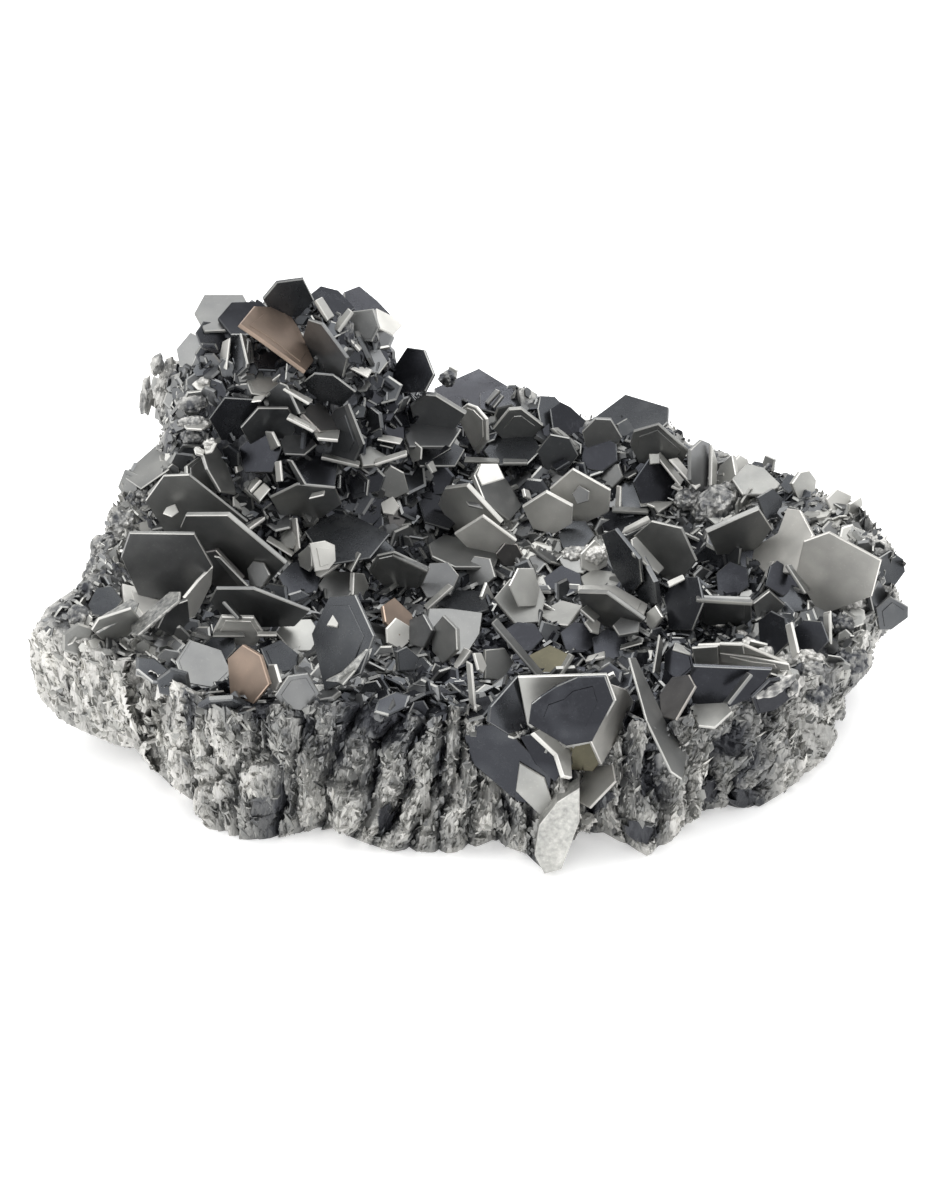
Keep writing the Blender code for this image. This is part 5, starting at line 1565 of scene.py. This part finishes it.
# %% A sheet over the top and a sheet round the wall
def top_surface(clear_behind, full_size_at, spacing=0.9):
    """The crust's top as a sheet that ends at the rim; crystals stand the way that it faces."""
    dice = random.Random(3)
    rim = wall_points[-1]
    inner = top_points(dice, rim[::RIM_STRIDE], spacing, relief=0.0)
    inner = np.array(inner) - (0.0, 0.0, SHEET_DROP)
    points = np.concatenate([rim, inner])
    faces = top_faces(points, len(rim))
    # Painted shade where a patch's amount is negative.
    frost = np.minimum(1.0, spots_at(*on_board(points), FROST_AND_SHADE_PATCHES, power=1.0, fall=1.2))
    room = np.where(points[:, 1] < 0, np.clip(rim_gap(points) / FRONT_BAND, 0.3, 1.0), 1.0)
    normals = np.zeros((len(points), 3))
    for face in faces:
        one, two, three = (points[corner] for corner in face)
        normals[face] += np.cross(two - one, three - one)
    normals *= np.sign(normals[:, 2:]) / np.maximum(np.linalg.norm(normals, axis=1), 1e-9)[:, None]
    return surface_sheet("top_surface", points, faces, clear_behind, frost, normals, full_size_at, room)


def wall_surface(clear_behind, towards_rim, step=3):
    """The wall as a sheet; slivers stand along its fibres and are as light as the wall is, its painted
    groove shade included.
    """
    rings, tones, plain = (part[2:-1:step, ::step] for part in (wall_points, wall_tones, wall_plain))
    count = rings.shape[1]
    faces = []
    for low in range(0, (len(rings) - 1) * count, count):
        for i in range(count):
            j = (i + 1) % count
            faces.append((low + i, low + j, low + count + j, low + count + i))
    points, tones = rings.reshape(-1, 3), tones.ravel()
    level = np.repeat(np.linspace(0, 1, len(rings)), count)
    outward = points[:, :2] - CRUST_CENTRE
    outward /= np.linalg.norm(outward, axis=1)[:, None]
    lean = front_lean(points[:, 0], points[:, 1])
    grain = np.stack([lean + 0.35 * outward[:, 0], 0.35 * outward[:, 1], np.ones(len(points))], axis=1)
    room = np.clip((tones - 0.12) * 4, 0, 1) * (1 - towards_rim + towards_rim * level**1.5)
    room = room * (1 - 0.85 * plain.ravel())
    return surface_sheet("wall_surface", points, faces, clear_behind, tones, grain, 0.9, room)


# %% Scatter plates over the top, and slivers and chips along the wall
small = scatter(
    "small_crystals", top_surface(1.6, 2.0), stamp=chip_stamp, material=PLATE_MATERIAL, density=1500000.0,
    smallest=0.0005, largest=0.0014, lean=0.9, darkest=0.03, lightest=0.42, frosting=0.55, seed=5,
)
middling = scatter(
    "middling_crystals", top_surface(3.2, 4.5), stamp=plate_stamp, material=PLATE_MATERIAL,
    density=300000.0, smallest=0.0013, largest=0.0027, lean=0.85, darkest=0.02, lightest=0.34,
    frosting=0.46, seed=9,
)
slivers = scatter(
    "wall_slivers", wall_surface(0.7, 0.0), stamp=splinter, material=FLAKE_MATERIAL, density=2600000.0,
    smallest=0.0003, largest=0.0012, lean=0.35, darkest=0.02, lightest=0.22, frosting=0.9, seed=21,
)
chips = scatter(
    "wall_chips", wall_surface(1.2, 0.8), stamp=chip_stamp, material=FLAKE_MATERIAL, density=1100000.0,
    smallest=0.0002, largest=0.0009, lean=2.0, darkest=0.04, lightest=0.22, frosting=0.82, seed=33,
)
for helper in (plate_stamp, chip_stamp, splinter):
    bpy.data.objects.remove(helper, do_unlink=True)

# %% [markdown]
# ## Granular lumps
# Here and there crystals too small to tell apart have grown into rounded, sugary lumps. Each one is a
# ball, squeezed to size, set where its sight line meets the nearest surface, and swollen into grains by
# the distance to the nearest of many scattered points. Each grain is painted lighter at its crown and
# darker towards the crevices between grains, a painted shade.

# %% Lumps of fine grains
# Each lump: across and up on the board, half sizes across and up, slant in degrees, and tone.
LUMPS = [
    (28.4, 41.4, 2.5, 2.2, 20, 0.5), (25.6, 42.2, 1.7, 1.3, 10, 0.55), (30.6, 43.2, 1.6, 1.2, 0, 0.6),
    (43.9, 30.4, 1.7, 1.5, 0, 0.72), (42.6, 28.0, 1.4, 1.2, 0, 0.35), (32.3, 25.6, 1.4, 0.8, -25, 0.88),
    (34.4, 24.8, 1.4, 0.7, -20, 0.84), (36.3, 24.1, 1.1, 0.7, 0, 0.8), (38.9, 24.3, 1.5, 1.0, 0, 0.9),
    (39.1, 22.4, 1.6, 1.4, 0, 0.55), (39.8, 20.3, 1.4, 1.3, 0, 0.34), (34.6, 21.1, 2.6, 0.9, 25, 0.62),
    (36.6, 21.0, 0.9, 0.9, 0, 0.6), (43.6, 24.0, 2.0, 1.7, 0, 0.34), (46.4, 37.2, 1.5, 0.9, -30, 0.68),
    (29.2, 28.0, 1.8, 0.4, -8, 0.7), (31.2, 27.0, 0.9, 0.5, -30, 0.8), (-33.7, 55.6, 1.2, 2.6, -15, 0.74),
    (-33.5, 52.2, 1.3, 2.0, 10, 0.68), (-30.6, 53.1, 1.8, 1.1, 0, 0.5), (-30.4, 50.8, 1.8, 0.9, 0, 0.68),
    (-30.6, 49.3, 1.7, 0.9, 0, 0.46), (-29.3, 55.5, 0.9, 0.7, 20, 0.8), (-28.7, 48.4, 0.8, 0.7, 0, 0.95),
    (-29.8, 47.7, 0.6, 0.35, -20, 0.95), (-32.6, 50.2, 0.8, 0.8, 0, 0.6), (-43.4, 29.0, 1.5, 1.2, 0, 0.5),
    (-42.4, 31.6, 1.1, 1.1, 0, 0.3), (-39.6, 33.8, 1.0, 1.4, 0, 0.34), (-37.8, 40.6, 1.4, 2.2, -20, 0.42),
    (14.8, 36.0, 1.5, 1.2, -20, 1.0), (12.4, 35.9, 1.3, 0.9, 0, 0.84), (-40.6, 36.6, 1.6, 2.0, -20, 0.5),
    (-38.8, 39.2, 1.6, 1.8, -30, 0.56), (-41.8, 34.0, 1.2, 1.8, -10, 0.46), (-36.2, 42.4, 1.2, 1.0, 30, 0.5),
    (-13.2, 61.0, 0.9, 1.7, 0, 0.3), (-1.9, 56.0, 1.0, 0.9, 0, 0.35), (34.4, 45.7, 0.8, 0.7, 0, 0.3),
    (-34.8, 57.4, 0.9, 1.2, 0, 0.72), (-36.0, 53.8, 0.8, 2.0, 0, 0.66),
]
GRAIN_SIZE = 0.55
GRAIN_SWELL = 0.5
LUMP_SINK = 0.1
# A point's chance value comes from the digits far down a sine, as in many shaders.
CHANCE_WAY = Vector((12.9, 78.2, 37.7))
CHANCE_SPREAD = 43758.5


def seat_depth(across, up):
    """How near the viewer the crust or a drawn plate comes on one sight line."""
    depth = crust_depth(across, up)
    if depth is None:
        depth = nearest_depth(across, up)
    nearest = depth
    base = board_point(across, up)
    for outline, corners, normal, _ in LAID_PLATES + LAID_LATHS:
        if inside_outline(across, up, outline):
            ahead = -gap_ahead(base, corners[0], normal)
            nearest = max(nearest, min(ahead, depth + MOST_LIFT))
    return nearest


def add_lump(mesh, tone_layer, across, up, half_across, half_up, slant, tone):
    fineness = 4 if half_across > 1 else 3
    half_deep = 0.8 * min(half_across, half_up)
    centre = board_point(across, up) + (seat_depth(across, up) - LUMP_SINK) * TO_VIEWER
    cosine, sine = math.cos(math.radians(slant)), math.sin(math.radians(slant))
    for vert in bmesh.ops.create_icosphere(mesh, subdivisions=fineness, radius=1.0)["verts"]:
        x, y, z = vert.co.x * half_across, vert.co.y * half_up, vert.co.z * half_deep
        place = Vector((x + across, y + up, z))
        distances, grains = noise.voronoi(place / GRAIN_SIZE)
        near_grain = 0.4 - distances[0]
        chance = math.sin(grains[0].dot(CHANCE_WAY)) * CHANCE_SPREAD % 1.0
        swell = 1 + (GRAIN_SWELL * near_grain + 0.5 * noise.noise(place / 1.3)) / half_across
        x, y, z = x * swell, y * swell, z * swell
        point = centre + board_vector(x * cosine - y * sine, x * sine + y * cosine) + z * TO_VIEWER
        # Painted shade: a grain is painted lighter at its crown and darker towards the crevices between
        # grains.
        vert[tone_layer] = min(max(tone + 0.4 * (chance - 0.5) + 0.5 * near_grain, 0.0), 1.0)
        vert.co = (point[0] * MM, point[1] * MM, max(point[2], 0.0) * MM)


def make_lumps():
    mesh = bmesh.new()
    tone_layer = mesh.verts.layers.float.new("tone")
    for lump in LUMPS:
        add_lump(mesh, tone_layer, *lump)
    bmesh.ops.recalc_face_normals(mesh, faces=mesh.faces)
    piece = keep_built("granular_lumps", mesh)
    piece.data.materials.append(CRUST_MATERIAL)
    return piece


lumps = make_lumps()
print(len(LUMPS), "lumps:", len(lumps.data.polygons), "triangles")

# %% [markdown]
# ## Floor, light and camera
# A pale floor and soft boxes above and at both sides, as in a light tent. The camera looks along the
# board's sight line through a long lens.

# %% The floor
FLOOR_FINISH = {
    "Base_Color": (0.92, 0.92, 0.92, 1), "Roughness": 0.9, "Specular_IOR_Level": 0.1,
    "Emission_Color": (1, 1, 1, 1), "Emission_Strength": 0.3,
}
floor_data = bpy.data.meshes.new("floor")
floor_data.from_pydata([(-6, -6, 0), (6, -6, 0), (6, 6, 0), (-6, 6, 0)], [], [(0, 1, 2, 3)])
floor_data.materials.append(new_material("pale_floor", **FLOOR_FINISH)[0])
floor = keep("floor", floor_data)
print("floor:", round(floor.dimensions.x), "by", round(floor.dimensions.y), "m")

# %% The light
LIT_POINT = Vector((0, 0, 0.02))
world = bpy.data.worlds.new("tent")
world.use_nodes = True
world.node_tree.nodes["Background"].inputs["Color"].default_value = (1, 1, 1, 1)
world.node_tree.nodes["Background"].inputs["Strength"].default_value = 1.0
bpy.context.scene.world = world


def soft_box(name, place, size, radiance):
    """A flat light that faces the object: its place, width and height in metres, and how bright it looks."""
    data = bpy.data.lights.new(name, "AREA")
    data.shape = "RECTANGLE"
    data.size, data.size_y = size
    data.energy = radiance * math.pi * size[0] * size[1]
    light = keep(name, data)
    light.location = place
    light.rotation_euler = (LIT_POINT - Vector(place)).to_track_quat("-Z", "Y").to_euler()


soft_box("overhead", (0.0, 0.2, 1.3), (1.6, 1.4), 2.2)
soft_box("left", (-1.3, -0.2, 0.8), (0.8, 0.9), 2.4)
soft_box("right", (1.3, 0.1, 0.7), (0.8, 0.8), 1.8)
soft_box("front_strip", (-0.5, -1.5, 1.1), (0.9, 0.08), 11.0)
soft_box("back_strip", (0.4, 1.4, 0.8), (1.1, 0.1), 9.0)
bpy.context.scene.view_settings.view_transform = "Standard"
print("lights:", [each.name for each in bpy.data.lights])

# %% The camera
VIEW_WIDTH = 0.1051
VIEW_CENTRE_UP = 30.8
CAMERA_DISTANCE = 2.2
SENSOR_WIDTH = 36.0
camera_data = bpy.data.cameras.new("camera")
camera_data.sensor_fit = "HORIZONTAL"
camera_data.sensor_width = SENSOR_WIDTH
camera_data.lens = SENSOR_WIDTH * CAMERA_DISTANCE / VIEW_WIDTH
camera_data.clip_end = 50.0
camera = keep("camera", camera_data)
target = board_point(0.0, VIEW_CENTRE_UP) * MM
turn = Matrix((BOARD_RIGHT, BOARD_UP, TO_VIEWER)).transposed().to_4x4()
camera.matrix_world = Matrix.Translation(Vector(target + TO_VIEWER * CAMERA_DISTANCE)) @ turn
bpy.context.scene.camera = camera
print("camera at", [round(v, 3) for v in camera.location])

# %% [markdown]
# ## Hand over
# Every piece rides on the only body and stands for the imported solid, which is hidden.

for piece in (crust, plates, lumps, small, middling, slivers, chips):
    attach(piece, "root")
    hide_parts(NODE)
    print(piece.name, sum(len(face.vertices) - 2 for face in piece.data.polygons), "triangles")
